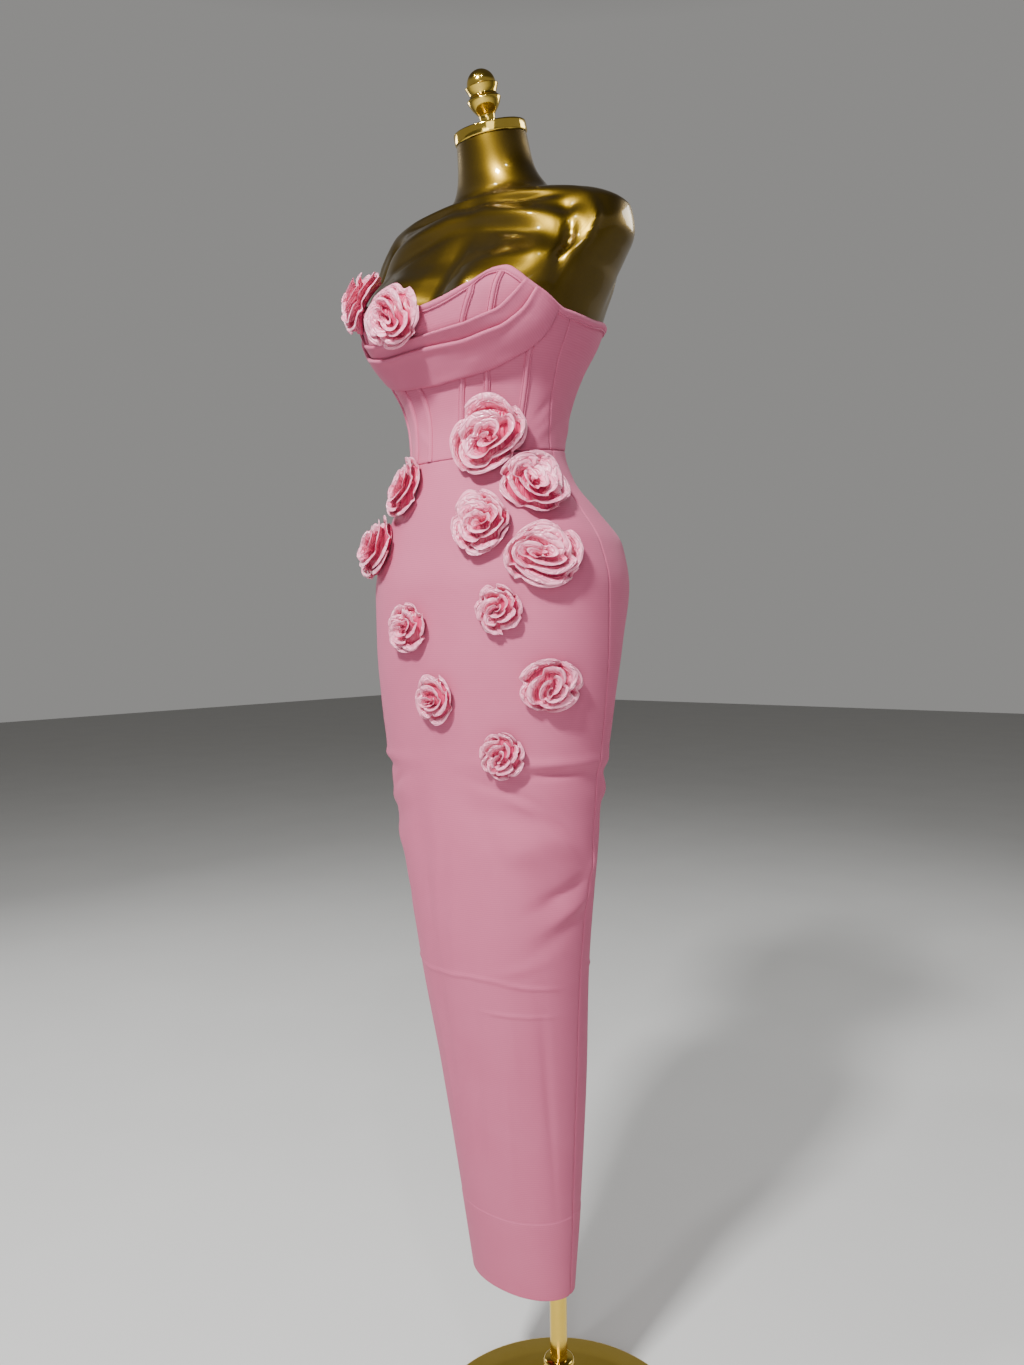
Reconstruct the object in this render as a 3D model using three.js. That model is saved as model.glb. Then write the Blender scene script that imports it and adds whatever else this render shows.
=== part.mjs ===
// A bodycon dress on a limbless dress form. The dress is strapless: a corset bodice of seven
// panels with flat boning channels, a cowl of two folds across the bust, a long pencil skirt
// and thirteen satin roses. The form stands on a pole and a round base, and carries a turned
// finial on its neck.
// Millimetres, +Z up. The base stands on z = 0, the dress faces -Y, and x = 0 is its middle
// plane. Angles run round the body in degrees: 0 at the centre front, 90 at the wearer's left
// side (+X), 180 at the centre back.
import * as THREE from 'three';

// Driving sizes
const CLOTH = 2;                 // bandage knit, doubled
const SATIN = 1.6;               // the folded cloth of the cowl
const SEAM_GAP = 0.3;            // between pieces that are sewn together
const FORM_INSET = 4;            // from the outside of the cloth to the form
const HEM_HEIGHT = 187;
const HEM_TURN = 100;            // depth of the turned-up hem
const HEM_STEP = 0.5;            // how far the doubled cloth stands out
const FORM_BOTTOM = 838;         // the form ends here, inside the skirt
const FORM_TOP = 1571;
const NECK_TILT = 17;            // the neck leans forward by this angle
const POLE = { x: 70, y: 15, radius: 10.5 };
const BASE_RADIUS = 165;

// Sections of the figure, measured on the outside of the cloth. halfWidth, front, back and
// middle are the half axes of a rounded section about the height's axis, power squares it off,
// bust and seat are extra swells, shift moves it sideways, and tilt and lean slope the ring.
const SECTION_COLUMNS = ['height', 'halfWidth', 'front', 'back', 'middle', 'power',
  'bust', 'seat', 'shift', 'tilt', 'lean'];
const SECTIONS = [
  [150, 69, 28, 44, 10, 2.1, 0, 0, 21, 0, 0],
  [300, 81, 53, 69, 8, 2.1, 0, 0, 18, 0, 0],
  [450, 95, 75, 78, 4, 2.1, 0, 0, 14, 0, 0],
  [600, 112, 97, 73, 0, 2.1, 0, 0, 8, 0, 0],
  [740, 134, 106, 70, 0, 2.1, 0, 0, 3, 0, 0],
  [836, 149, 110, 74, 0, 2.2, 0, 0, 0, 0, 0],
  [905, 158, 115, 84, 0, 2.2, 0, 3, 0, 0, 0],
  [970, 163, 118, 107, 0, 2.2, 0, 7, 0, 0, 0],
  [1035, 164, 118, 134, 0, 2.2, 0, 10, 0, 0, 0],
  [1085, 154, 110, 136, -3, 2.2, 0, 7, 0, 0, 0],
  [1125, 130, 104, 104, -8, 2.2, 0, 2, 0, 0, 0],
  [1160, 107, 97, 76, -12, 2.15, 0, 0, 0, 0, 0],
  [1195, 98, 91, 66, -15, 2.1, 0, 0, 0, 0, 0],
  [1225, 101, 89, 71, -16, 2.1, 0, 0, 0, 0, 0],
  [1255, 108, 92, 79, -18, 2.15, 1, 0, 0, 0, 0],
  [1285, 119, 103, 87, -21, 2.3, 7, 0, 0, 0, 0],
  [1320, 138, 116, 97, -25, 2.5, 22, 0, 0, 0, 0],
  [1350, 150, 122, 101, -28, 2.6, 20, 0, 0, 0, 0],
  [1385, 164, 105, 104, -24, 2.6, 13, 0, 1, 0, 0.01],
  [1412, 171, 82, 102, -10, 2.5, 5, 0, 5, 0, 0.03],
  [1440, 175, 64, 98, 4, 2.4, 0, 0, 8, 0, 0.055],
  [1469, 171, 50, 90, 14, 2.3, 0, 0, 7, 0, 0.075],
  [1484, 152, 42, 80, 17, 2.2, 0, 0, 6, 0, 0.08],
  [1490, 121, 38, 71, 15, 2.1, 0, 0, 7, 0, 0.07],
  [1495, 85, 34, 63, 10, 2.05, 0, 0, 6, 2, 0.045],
  [1512, 61, 31, 58, 8, 2, 0, 0, 4, 8, 0.01],
  [1535, 48.5, 33, 51, 6, 2, 0, 0, 1, 14, 0],
  [1571, 42, 39, 43, 2, 2, 0, 0, 0, 17, 0],
];
const CUP = { apart: 72, spread: 36, bridge: 0.72 };   // half the distance between the cups
const SEAT_SPREAD = 50;

// The top edge of the bodice: angle from the centre front, height
const NECKLINE = [
  [0, 1341], [12, 1344], [26, 1354], [33, 1369], [37, 1371], [44, 1365], [52, 1356],
  [66, 1344], [83, 1332], [98, 1332], [115, 1337], [150, 1342], [180, 1343],
];
// The waist seam dips at the front
const WAIST = { front: 1181, back: 1201 };

// Seams and channels of the bodice: height, angle from the centre front
const PRINCESS_LINE = [
  [1180, 11.5], [1215, 12.5], [1255, 14], [1290, 18.5], [1315, 22.8], [1350, 27],
];
const CUP_LINE = [[1180, 30], [1225, 31], [1268, 32], [1300, 35.5], [1325, 37], [1370, 37]];
const SIDE_FRONT_LINE = [[1180, 56], [1237, 58.2], [1290, 61], [1340, 66]];
const SIDE_LINE = [[1180, 88], [1250, 85], [1330, 87]];
const BACK_LINE = [[1180, 180], [1350, 180]];
const CHANNEL_WIDTH = 8;
const CHANNEL_RISE = 1.4;
const CHANNEL_CLEAR = 0.4;
const BAND_WIDTH = 8;
const BAND_RISE = 1.6;

// The cowl: three lines across the bust. end is the angle where a line meets the neckline, and
// heights gives its sweep, as a share of the way to that end and a height.
const COWL_LINES = {
  top: { end: 51, heights: [[0, 1313], [0.45, 1315], [0.76, 1326], [0.88, 1339], [1, 1355]] },
  fold: {
    end: 58.5, heights: [[0, 1302.5], [0.31, 1302], [0.7, 1311], [0.88, 1327], [1, 1348]],
  },
  bottom: {
    end: 77, heights: [[0, 1264.5], [0.38, 1270], [0.73, 1287], [0.9, 1305], [1, 1332]],
  },
};
const COWL_BELOW_NECK = 0.5;     // the lines end this far below the top edge
// Height of the outside of each fold over the bodice, from its upper edge (0) to its lower (1)
const UPPER_FOLD = [[0, 4.2], [0.2, 6], [0.55, 8], [0.85, 7.4], [1, 5.6]];
const LOWER_FOLD = [[0, 4.6], [0.12, 5.8], [0.35, 7.6], [0.65, 6.8], [0.88, 5.6], [1, 4.2]];

const SKIRT_GIRTH = 2.2;         // millimetres round the skirt for each degree
// Soft folds of the skirt: angle, height, half lengths along and across, turn from level in
// degrees, and depth (a ridge stands out, a trough goes in)
const FOLD_COLUMNS = ['angle', 'height', 'along', 'across', 'turn', 'depth'];
const SKIRT_FOLDS = [
  [38, 781, 50, 17, -10, -3.2],
  [66, 752, 42, 16, -26, 2],
  [60, 694, 46, 17, -40, -3.6],
  [90, 716, 52, 16, -64, 2.4],
  [-16, 760, 100, 18, 86, -1.8],
  [6, 700, 120, 17, 84, 1.6],
  [-38, 768, 48, 18, 16, -2.6],
  [-64, 730, 50, 18, 36, 2.2],
  [-86, 690, 52, 18, 60, -2.8],
  [124, 760, 66, 18, -30, -2.8],
  [152, 700, 76, 18, -58, 2],
  [-130, 745, 64, 18, 26, -3],
  [-158, 680, 80, 18, 62, 2],
];
// Where the form's lower edge presses the cloth out
const EDGE_RIDGE = { rise: 1.6, width: 8, drop: -1.8, below: 20, dropWidth: 14, fade: 26 };

// Satin roses: angle, height, radius and rise of each, turns of the ribbon, start of the
// spiral in degrees, steps in one turn, and how far the base is held off the cloth
const ROSE_COLUMNS = ['angle', 'height', 'radius', 'rise', 'turns', 'start', 'steps', 'lift'];
const ROSES = [
  [-31, 1366, 36, 25, 2.6, 40, 16, 2.6],
  [-6, 1337, 36, 24, 2.6, 150, 16, 2.6],
  [35.7, 1198, 44, 26, 2.8, 20, 16, 2.4],
  [57.4, 1144, 40, 24, 2.7, 250, 16, 1.2],
  [26.5, 1105, 38, 23, 2.7, 110, 16, 1],
  [50.1, 1068, 43, 23, 2.8, 300, 16, 1],
  [-31.8, 1152, 37, 21, 2.6, 60, 14, 1],
  [-43.6, 1088, 36, 22, 2.6, 200, 14, 1],
  [-9.6, 991, 30, 18, 2.5, 10, 14, 0.9],
  [2.1, 911, 29, 18, 2.5, 130, 14, 0.9],
  [31.5, 1010, 30, 18, 2.5, 280, 14, 0.9],
  [54.4, 926.5, 34, 19, 2.6, 80, 14, 0.9],
  [32.6, 849, 28, 16, 2.5, 220, 14, 1.1],
];
// The ribbon: radius of its first turn, its rim and its growth, its foot and sole as shares of
// the radius, the width of its folded edge, and the edge's sideways waves in a turn
const RIBBON = { core: 3, rim: 1.03, growth: 1.35, foot: 0.82, sole: 0.42, edge: 2.6 };
const RIBBON_WAVE = { width: 1.6, count: 4.6 };
// Heights as shares of the rise: the fall from centre to rim, the edge's waves and their count
// in a turn, the valleys at the centre and at the rim, and the middle
const ROSE_RISE = { fall: 0.5, wave: 0.13, waves: 2.3, valley: 0.62, rim: 0.3, middle: 0.86 };
const EDGE_PLACE = { first: 0.45, last: 0.75, least: 0.12, drop: 0.6 };  // between two valleys
const ROSE_GAP = 0.5;            // from each rose to the plane between it and its neighbour
const ROSE_REACH = 8;            // roses nearer to each other than this press together
const ROSE_FREE = 0.3;           // share of a rose that a neighbour doesn't press
const ROSE_FOLLOW = { share: 0.45, within: 14 };   // how a rose evens out the cloth behind it
const COWL_CROSSING = { lift: 6.5, below: 4, above: 14, from: 1270 };

// The turned finial: radius, height above the cap
const FINIAL_PROFILE = [
  [0, 0], [13.3, 0], [10.2, 3], [9.4, 6], [9.2, 13], [12.4, 17], [16, 21.5], [18.6, 26],
  [20, 30], [19.4, 32], [17.3, 33.6], [16, 36], [17.6, 40], [19.5, 44], [19.4, 45.6],
  [17.3, 46.2],
];
const FINIAL_BALL = { radius: 17.3, centre: 46.2 };
const CAP = { radius: 44, height: 13, bevel: 0.8 };
const BASE_PROFILE = [
  [0, 0], [BASE_RADIUS, 0], [BASE_RADIUS, 5], [BASE_RADIUS - 3, 8], [70, 11], [26, 15], [20, 20],
  [18.5, 28], [18.5, 94], [16.5, 97], [0, 97],
];
const POLE_FLANGE = { radius: 19, height: 12 };

// The zip's slider is a channel, and its pull hangs from a bar between the channel's ears
const SLIDER = { width: 8, length: 10, floor: 1.6, ears: 4.2, ear: 1.2, top: 1331, clear: 0.7 };
const PULL = { bar: 1, width: 5, length: 24, thickness: 1.2, drop: 2.2, reach: 0.3 };

// Materials
const finish = (color, roughness, metalness) =>
  new THREE.MeshStandardMaterial({ color, roughness, metalness });
const KNIT = finish(0xeba3bd, 0.75, 0);
const ROSE_SATIN = finish(0xf3a9c3, 0.35, 0);
const GOLD_PAINT = finish(0x8f7420, 0.35, 0.7);
const GOLD_PLATE = finish(0xd0a640, 0.15, 1);

const dress = new THREE.Group();

function addPiece(name, geometry, material) {
  const piece = new THREE.Mesh(geometry, material);
  piece.name = name;
  dress.add(piece);
  return piece;
}

// Smooth, monotone curve through the rows of a table, from column 0 to another column
const slopeCache = new Map();

function slopes(table, column) {
  if (!slopeCache.has(table)) slopeCache.set(table, []);
  const known = slopeCache.get(table);
  if (known[column]) return known[column];
  const count = table.length;
  const steps = [];
  const rates = [];
  for (let i = 0; i < count - 1; i += 1) {
    steps.push(table[i + 1][0] - table[i][0]);
    rates.push((table[i + 1][column] - table[i][column]) / steps[i]);
  }
  const result = [rates[0]];
  for (let i = 1; i < count - 1; i += 1) {
    const before = 2 * steps[i] + steps[i - 1];
    const after = steps[i] + 2 * steps[i - 1];
    const turns = rates[i - 1] * rates[i] <= 0;
    result.push(turns ? 0 : (before + after) / (before / rates[i - 1] + after / rates[i]));
  }
  result.push(rates[count - 2]);
  known[column] = result;
  return result;
}

function along(table, at, column = 1) {
  const last = table.length - 1;
  const x = THREE.MathUtils.clamp(at, table[0][0], table[last][0]);
  let i = 0;
  while (i < last - 1 && x >= table[i + 1][0]) i += 1;
  const step = table[i + 1][0] - table[i][0];
  const t = (x - table[i][0]) / step;
  const slope = slopes(table, column);
  return (2 * t ** 3 - 3 * t ** 2 + 1) * table[i][column]
    + (t ** 3 - 2 * t ** 2 + t) * step * slope[i]
    + (3 * t ** 2 - 2 * t ** 3) * table[i + 1][column]
    + (t ** 3 - t ** 2) * step * slope[i + 1];
}

const signedPower = (value, power) => Math.sign(value) * Math.abs(value) ** power;
const bell = (distance, width) => Math.exp(-((distance / width) ** 2));
const mix = THREE.MathUtils.lerp;
const wrapAngle = (angle) => THREE.MathUtils.euclideanModulo(angle + 180, 360) - 180;

// A point on the figure. bridge is 1 for cloth, which spans the cups, and 0 for the form.
function figurePoint(angle, height, bridge) {
  const section = {};
  SECTION_COLUMNS.forEach((column, k) => { section[column] = along(SECTIONS, height, k); });
  const radians = THREE.MathUtils.degToRad(angle);
  const power = 2 / section.power;
  const x = section.halfWidth * signedPower(Math.sin(radians), power);
  const depth = signedPower(Math.cos(radians), power);
  const front = Math.max(depth, 0);
  const back = Math.max(-depth, 0);
  const across = Math.abs(x);
  let lobe = bell(across - CUP.apart, CUP.spread);
  if (across < CUP.apart) lobe = mix(lobe, CUP.bridge + (1 - CUP.bridge) * lobe, bridge);
  const y = section.middle
    - (section.front + section.middle) * front
    + (section.back - section.middle) * back
    - section.bust * Math.sqrt(front) * lobe
    + section.seat * Math.sqrt(back) * bell(across - CUP.apart, SEAT_SPREAD);
  const centre = (section.back - section.front) / 2;
  const slope = Math.tan(THREE.MathUtils.degToRad(section.tilt));
  return new THREE.Vector3(x + section.shift, y, height + (y - centre) * slope - section.lean * x);
}

// The outward direction of a surface given by a function of angle and height
function outward(surface, angle, height) {
  const round = surface(angle + 0.05, height).sub(surface(angle - 0.05, height));
  const up = surface(angle, height + 0.5).sub(surface(angle, height - 0.5));
  return round.cross(up).normalize();
}

const figureOfCloth = (angle, height) => figurePoint(angle, height, 1);
const figureOfForm = (angle, height) => figurePoint(angle, height, 0);

function foldRise(angle, height) {
  const turned = wrapAngle(angle);
  const edge = 1 - bell(turned, EDGE_RIDGE.fade);
  let rise = EDGE_RIDGE.rise * edge * bell(height - FORM_BOTTOM, EDGE_RIDGE.width)
    + EDGE_RIDGE.drop * edge * bell(height - FORM_BOTTOM + EDGE_RIDGE.below, EDGE_RIDGE.dropWidth);
  for (const row of SKIRT_FOLDS) {
    const fold = Object.fromEntries(FOLD_COLUMNS.map((column, k) => [column, row[k]]));
    const round = wrapAngle(turned - fold.angle) * SKIRT_GIRTH;
    const up = height - fold.height;
    const turn = THREE.MathUtils.degToRad(fold.turn);
    const ahead = round * Math.cos(turn) + up * Math.sin(turn);
    const aside = up * Math.cos(turn) - round * Math.sin(turn);
    rise += fold.depth * bell(ahead, fold.along) * bell(aside, fold.across);
  }
  return rise;
}

// The outside of the cloth, with its soft folds and the step of the turned-up hem
function clothFace(angle, height) {
  const point = figureOfCloth(angle, height);
  let rise = foldRise(angle, height);
  if (height < HEM_HEIGHT + HEM_TURN + 0.01) rise += HEM_STEP;
  if (rise === 0) return point;
  return point.addScaledVector(outward(figureOfCloth, angle, height), rise);
}

function clothPoint(angle, height, out) {
  return clothFace(angle, height).addScaledVector(outward(clothFace, angle, height), out);
}

// Closed solids

function closedSolid(points, faces) {
  const positions = [];
  points.forEach((point) => positions.push(point.x, point.y, point.z));
  const geometry = new THREE.BufferGeometry();
  geometry.setAttribute('position', new THREE.Float32BufferAttribute(positions, 3));
  geometry.setIndex(faces.flat());
  geometry.computeVertexNormals();
  return geometry;
}

// A wall of cloth: place(u, v, side) gives a point of its outside (side 1) or inside (side 0),
// with u running round the body and v upwards. Each four-sided cell is split along its
// shorter diagonal, so that left and right come out alike.
function wallSolid(columns, rows, place) {
  const points = [];
  const faces = [];
  const index = (i, j, side) => (side * (columns + 1) + i) * (rows + 1) + j;
  for (const side of [0, 1]) {
    for (let i = 0; i <= columns; i += 1) {
      for (let j = 0; j <= rows; j += 1) points.push(place(i / columns, j / rows, side));
    }
  }
  const quad = (a, b, c, d) => {
    const shorter = points[a].distanceTo(points[c]) <= points[b].distanceTo(points[d]);
    faces.push(...(shorter ? [[a, b, c], [a, c, d]] : [[a, b, d], [b, c, d]]));
  };
  for (let i = 0; i < columns; i += 1) {
    for (let j = 0; j < rows; j += 1) {
      quad(index(i, j, 1), index(i + 1, j, 1), index(i + 1, j + 1, 1), index(i, j + 1, 1));
      quad(index(i, j, 0), index(i, j + 1, 0), index(i + 1, j + 1, 0), index(i + 1, j, 0));
    }
  }
  for (let i = 0; i < columns; i += 1) {
    quad(index(i, 0, 0), index(i + 1, 0, 0), index(i + 1, 0, 1), index(i, 0, 1));
    quad(index(i, rows, 1), index(i + 1, rows, 1), index(i + 1, rows, 0), index(i, rows, 0));
  }
  for (let j = 0; j < rows; j += 1) {
    quad(index(0, j, 0), index(0, j, 1), index(0, j + 1, 1), index(0, j + 1, 0));
    const last = index(columns, j, 0);
    const lastOut = index(columns, j, 1);
    quad(lastOut, last, last + 1, lastOut + 1);
  }
  return closedSolid(points, faces);
}

// A loft of closed rings, with a flat face at each end
function loftSolid(rings) {
  const count = rings[0].length;
  const points = rings.flat();
  const faces = [];
  for (let k = 0; k < rings.length - 1; k += 1) {
    for (let i = 0; i < count; i += 1) {
      const next = (i + 1) % count;
      const low = k * count;
      const high = low + count;
      faces.push([low + i, low + next, high + next], [low + i, high + next, high + i]);
    }
  }
  for (const [ring, order] of [[0, -1], [rings.length - 1, 1]]) {
    const centre = new THREE.Vector3();
    rings[ring].forEach((point) => centre.addScaledVector(point, 1 / count));
    points.push(centre);
    for (let i = 0; i < count; i += 1) {
      const edge = [ring * count + i, ring * count + ((i + 1) % count)];
      if (order < 0) edge.reverse();
      faces.push([edge[0], edge[1], points.length - 1]);
    }
  }
  return closedSolid(points, faces);
}

// A turned piece about +Z, from a profile of [radius, height]
function turnedSolid(profile, sides) {
  const outline = profile.map(([radius, height]) => new THREE.Vector2(radius, height));
  const geometry = new THREE.LatheGeometry(outline, sides);
  geometry.rotateX(Math.PI / 2);
  return geometry;
}

// Bodice

const neckHeight = (angle) => along(NECKLINE, Math.abs(wrapAngle(angle)));
const waistHeight = (angle) =>
  mix(WAIST.front, WAIST.back, (1 - Math.cos(THREE.MathUtils.degToRad(angle))) / 2);

// The angle at which a length of cloth of that many millimetres is passed at a height
function angleOf(length, angle, height) {
  const speed = clothFace(angle + 0.5, height).distanceTo(clothFace(angle - 0.5, height));
  return length / speed;
}

// Rows of the bodice's grid run from the waist seam up to the band, and the last one is the
// top edge
const BODICE_ROWS = 12;
const BAND_CLEAR = 0.4;

function bodiceHeight(row, angle) {
  const low = waistHeight(angle) + SEAM_GAP / 2;
  const high = neckHeight(angle);
  if (row === BODICE_ROWS) return high;
  return mix(low, high - BAND_WIDTH - BAND_CLEAR, row / (BODICE_ROWS - 1));
}

// The place where a line of the bodice, given as the angle at a height, crosses a row
function crossing(angleAt, row) {
  let height = bodiceHeight(row, 0);
  let angle = 0;
  for (let k = 0; k < 8; k += 1) {
    angle = angleAt(height);
    height = bodiceHeight(row, angle);
  }
  return { angle, height };
}

// Each panel's columns of points run from stop to stop. A stop is a line, a distance from it
// in millimetres, and the number of columns to the next stop. Columns lie under the edges of
// the channels, so that a channel is made from the panel's own points.
const EDGE = CHANNEL_WIDTH / 2;
const SEWN = SEAM_GAP / 2;
const stop = (line, offset, columns = 0) => ({ line, offset, columns, side: 1 });
const mirrored = (stops) => stops.map((_, k) => {
  const from = stops[stops.length - 1 - k];
  const before = stops[stops.length - 2 - k];
  return { ...from, side: -from.side, offset: -from.offset, columns: before ? before.columns : 0 };
});
const CENTRE_HALF = [stop(PRINCESS_LINE, -EDGE, 1), stop(PRINCESS_LINE, -SEWN)];
const MID_STOPS = [
  stop(PRINCESS_LINE, SEWN, 1), stop(PRINCESS_LINE, EDGE, 1), stop(CUP_LINE, -EDGE, 1),
  stop(CUP_LINE, EDGE, 3), stop(SIDE_FRONT_LINE, -EDGE, 1), stop(SIDE_FRONT_LINE, -SEWN),
];
const SIDE_STOPS = [
  stop(SIDE_FRONT_LINE, SEWN, 1), stop(SIDE_FRONT_LINE, EDGE, 2), stop(SIDE_LINE, -SEWN),
];
const BACK_STOPS = [stop(SIDE_LINE, SEWN, 8), stop(BACK_LINE, -SEWN)];
const CENTRE_STOPS = [...mirrored(CENTRE_HALF), ...CENTRE_HALF];
CENTRE_STOPS[1].columns = 5;
const BODICE_PANELS = [
  { name: 'bodice_back_right', stops: mirrored(BACK_STOPS) },
  { name: 'bodice_front_side_right', stops: mirrored(SIDE_STOPS) },
  { name: 'bodice_front_mid_right', stops: mirrored(MID_STOPS) },
  { name: 'bodice_front_centre', stops: CENTRE_STOPS },
  { name: 'bodice_front_mid_left', stops: MID_STOPS },
  { name: 'bodice_front_side_left', stops: SIDE_STOPS },
  { name: 'bodice_back_left', stops: BACK_STOPS },
];

const lineAngle = (line, side, offset, height) => {
  const angle = side * along(line, height);
  return angle + angleOf(offset, angle, height);
};

function columnAngle(stops, column, height) {
  let left = column;
  let k = 0;
  while (left > stops[k].columns) {
    left -= stops[k].columns;
    k += 1;
  }
  const [from, to] = [stops[k], stops[Math.min(k + 1, stops.length - 1)]];
  const start = lineAngle(from.line, from.side, from.offset, height);
  if (left === 0) return start;
  return mix(start, lineAngle(to.line, to.side, to.offset, height), left / from.columns);
}

// A point of a panel's grid on the outside of the cloth, with its outward direction
function gridPoint(stops, column, row) {
  const { angle, height } = crossing((at) => columnAngle(stops, column, at), row);
  return { angle, point: clothFace(angle, height), out: outward(clothFace, angle, height) };
}

const bodiceRows = [];
for (let row = 0; row <= BODICE_ROWS; row += 1) {
  bodiceRows.push(BODICE_PANELS.map(({ stops }) => {
    const columns = stops.reduce((sum, from) => sum + from.columns, 0);
    return Array.from({ length: columns + 1 }, (_, column) => gridPoint(stops, column, row));
  }));
}

const movedOut = ({ point, out }, distance) => point.clone().addScaledVector(out, distance);

function buildBodice() {
  BODICE_PANELS.forEach((panel, k) => {
    const columns = bodiceRows[0][k].length - 1;
    const solid = wallSolid(columns, BODICE_ROWS, (u, v, side) => {
      const cell = bodiceRows[Math.round(v * BODICE_ROWS)][k][Math.round(u * columns)];
      return movedOut(cell, side ? 0 : -CLOTH);
    });
    addPiece(panel.name, solid, KNIT);
  });
}

// The point of the sewn panels at an angle along one of their rows
function onRow(row, angle) {
  const cells = bodiceRows[row].flat();
  let k = 0;
  while (k < cells.length - 2 && cells[k + 1].angle < angle) k += 1;
  const share = (angle - cells[k].angle) / (cells[k + 1].angle - cells[k].angle);
  return {
    point: cells[k].point.clone().lerp(cells[k + 1].point, share),
    out: cells[k].out.clone().lerp(cells[k + 1].out, share).normalize(),
  };
}

// A flat channel sewn over a boning line, made from the points of the panels below it
function buildChannels() {
  const lines = { princess: PRINCESS_LINE, cup: CUP_LINE, side: SIDE_FRONT_LINE };
  for (const [word, line] of Object.entries(lines)) {
    for (const [hand, sign] of [['left', 1], ['right', -1]]) {
      const solid = wallSolid(2, BODICE_ROWS - 1, (u, v, side) => {
        const row = Math.round(v * (BODICE_ROWS - 1));
        const offset = (2 * u - 1) * EDGE;
        const { angle } = crossing((at) => lineAngle(line, sign, offset, at), row);
        return movedOut(onRow(row, angle), side ? CHANNEL_RISE : CHANNEL_CLEAR);
      });
      addPiece(`channel_${word}_${hand}`, solid, KNIT);
    }
  }
}

// The band round the top edge, open at the centre back where the zip ends
function buildNeckBand() {
  const low = bodiceRows[BODICE_ROWS - 1].flat();
  const high = bodiceRows[BODICE_ROWS].flat();
  const solid = wallSolid(low.length - 1, 1, (u, v, side) => {
    const k = Math.round(u * (low.length - 1));
    const edge = { ...(v > 0.5 ? high : low)[k] };
    const lift = BAND_CLEAR * 2 / BAND_WIDTH;
    edge.point = edge.point.clone().lerp((v > 0.5 ? low : high)[k].point, v > 0.5 ? 0 : lift);
    return movedOut(edge, side ? BAND_RISE : SEAM_GAP);
  });
  addPiece('neckline_band', solid, KNIT);
}

// Cowl

const cowlPlace = (line, p) => ({
  angle: p * line.end,
  height: Math.min(along(line.heights, Math.abs(p)), neckHeight(p * line.end) - COWL_BELOW_NECK),
});

function cowlPoint(upper, lower, profile, p, v, side, inset) {
  const top = cowlPlace(upper, p);
  const bottom = cowlPlace(lower, p);
  const span = Math.hypot(top.height - bottom.height, (top.angle - bottom.angle) * 2);
  const at = mix(inset / span, 1, v);
  const rise = along(profile, at);
  return clothPoint(mix(top.angle, bottom.angle, at), mix(top.height, bottom.height, at),
    side ? rise : rise - SATIN);
}

function buildCowl() {
  const columns = 30;
  const upperFold = wallSolid(columns, 4, (u, v, side) =>
    cowlPoint(COWL_LINES.top, COWL_LINES.fold, UPPER_FOLD, 2 * u - 1, 1 - v, side, 0));
  addPiece('cowl_upper_fold', upperFold, KNIT);
  const lowerFold = wallSolid(columns, 5, (u, v, side) =>
    cowlPoint(COWL_LINES.fold, COWL_LINES.bottom, LOWER_FOLD, 2 * u - 1, 1 - v, side, 2 * SEAM_GAP));
  addPiece('cowl_lower_fold', lowerFold, KNIT);
}

// Skirt

// Stretches of the skirt from hem to waist, each with its number of rows
const SKIRT_STRETCHES = [
  { to: HEM_HEIGHT, rows: 0 },
  { to: HEM_HEIGHT + HEM_TURN, rows: 1 },
  { to: HEM_HEIGHT + HEM_TURN + 1.5, rows: 1 },
  { to: 620, rows: 6 },
  { to: FORM_BOTTOM - EDGE_RIDGE.below, rows: 9 },
  { to: FORM_BOTTOM, rows: 2 },
  { to: FORM_BOTTOM + EDGE_RIDGE.below + 2, rows: 2 },
  { to: 980, rows: 3 },
  { to: null, rows: 10 },
];
const SKIRT_ROWS = SKIRT_STRETCHES.reduce((sum, stretch) => sum + stretch.rows, 0);

function skirtHeight(row, angle) {
  const top = waistHeight(angle) - SEAM_GAP / 2;
  let low = HEM_HEIGHT;
  let left = row;
  for (const stretch of SKIRT_STRETCHES) {
    const high = stretch.to ?? top;
    if (stretch.rows > 0 && left <= stretch.rows) return mix(low, high, left / stretch.rows);
    left -= stretch.rows;
    low = high;
  }
  return top;
}

function buildSkirt() {
  const panels = [
    { name: 'skirt_front', start: -90, end: 90, columns: 18 },
    { name: 'skirt_back_left', start: 90, end: 180, columns: 8 },
    { name: 'skirt_back_right', start: 180, end: 270, columns: 8 },
  ];
  for (const panel of panels) {
    const solid = wallSolid(panel.columns, SKIRT_ROWS, (u, v, side) => {
      const row = Math.round(v * SKIRT_ROWS);
      const height = skirtHeight(row, mix(panel.start, panel.end, u));
      const first = panel.start + angleOf(SEAM_GAP / 2, panel.start, height);
      const last = panel.end - angleOf(SEAM_GAP / 2, panel.end, height);
      const doubled = height < HEM_HEIGHT + HEM_TURN + 0.01 ? CLOTH + 2 * HEM_STEP : CLOTH;
      return clothPoint(mix(first, last, u), height, side ? 0 : -doubled);
    });
    addPiece(panel.name, solid, KNIT);
  }
}

// Roses

function readRose(row, k) {
  const rose = Object.fromEntries(ROSE_COLUMNS.map((column, i) => [column, row[i]]));
  rose.name = `rose_${String(k + 1).padStart(2, '0')}`;
  rose.centre = clothFace(rose.angle, rose.height);
  rose.out = outward(clothFace, rose.angle, rose.height);
  rose.level = new THREE.Vector3(0, 0, 1).cross(rose.out).normalize();
  rose.upward = rose.out.clone().cross(rose.level);
  rose.sides = [];
  return rose;
}

// How far the cloth behind a rose lies along the rose's axis, at a place in the rose's plane,
// found in short steps over the cloth
const LONGEST_STEP = { turn: 8, climb: 20 };

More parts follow.
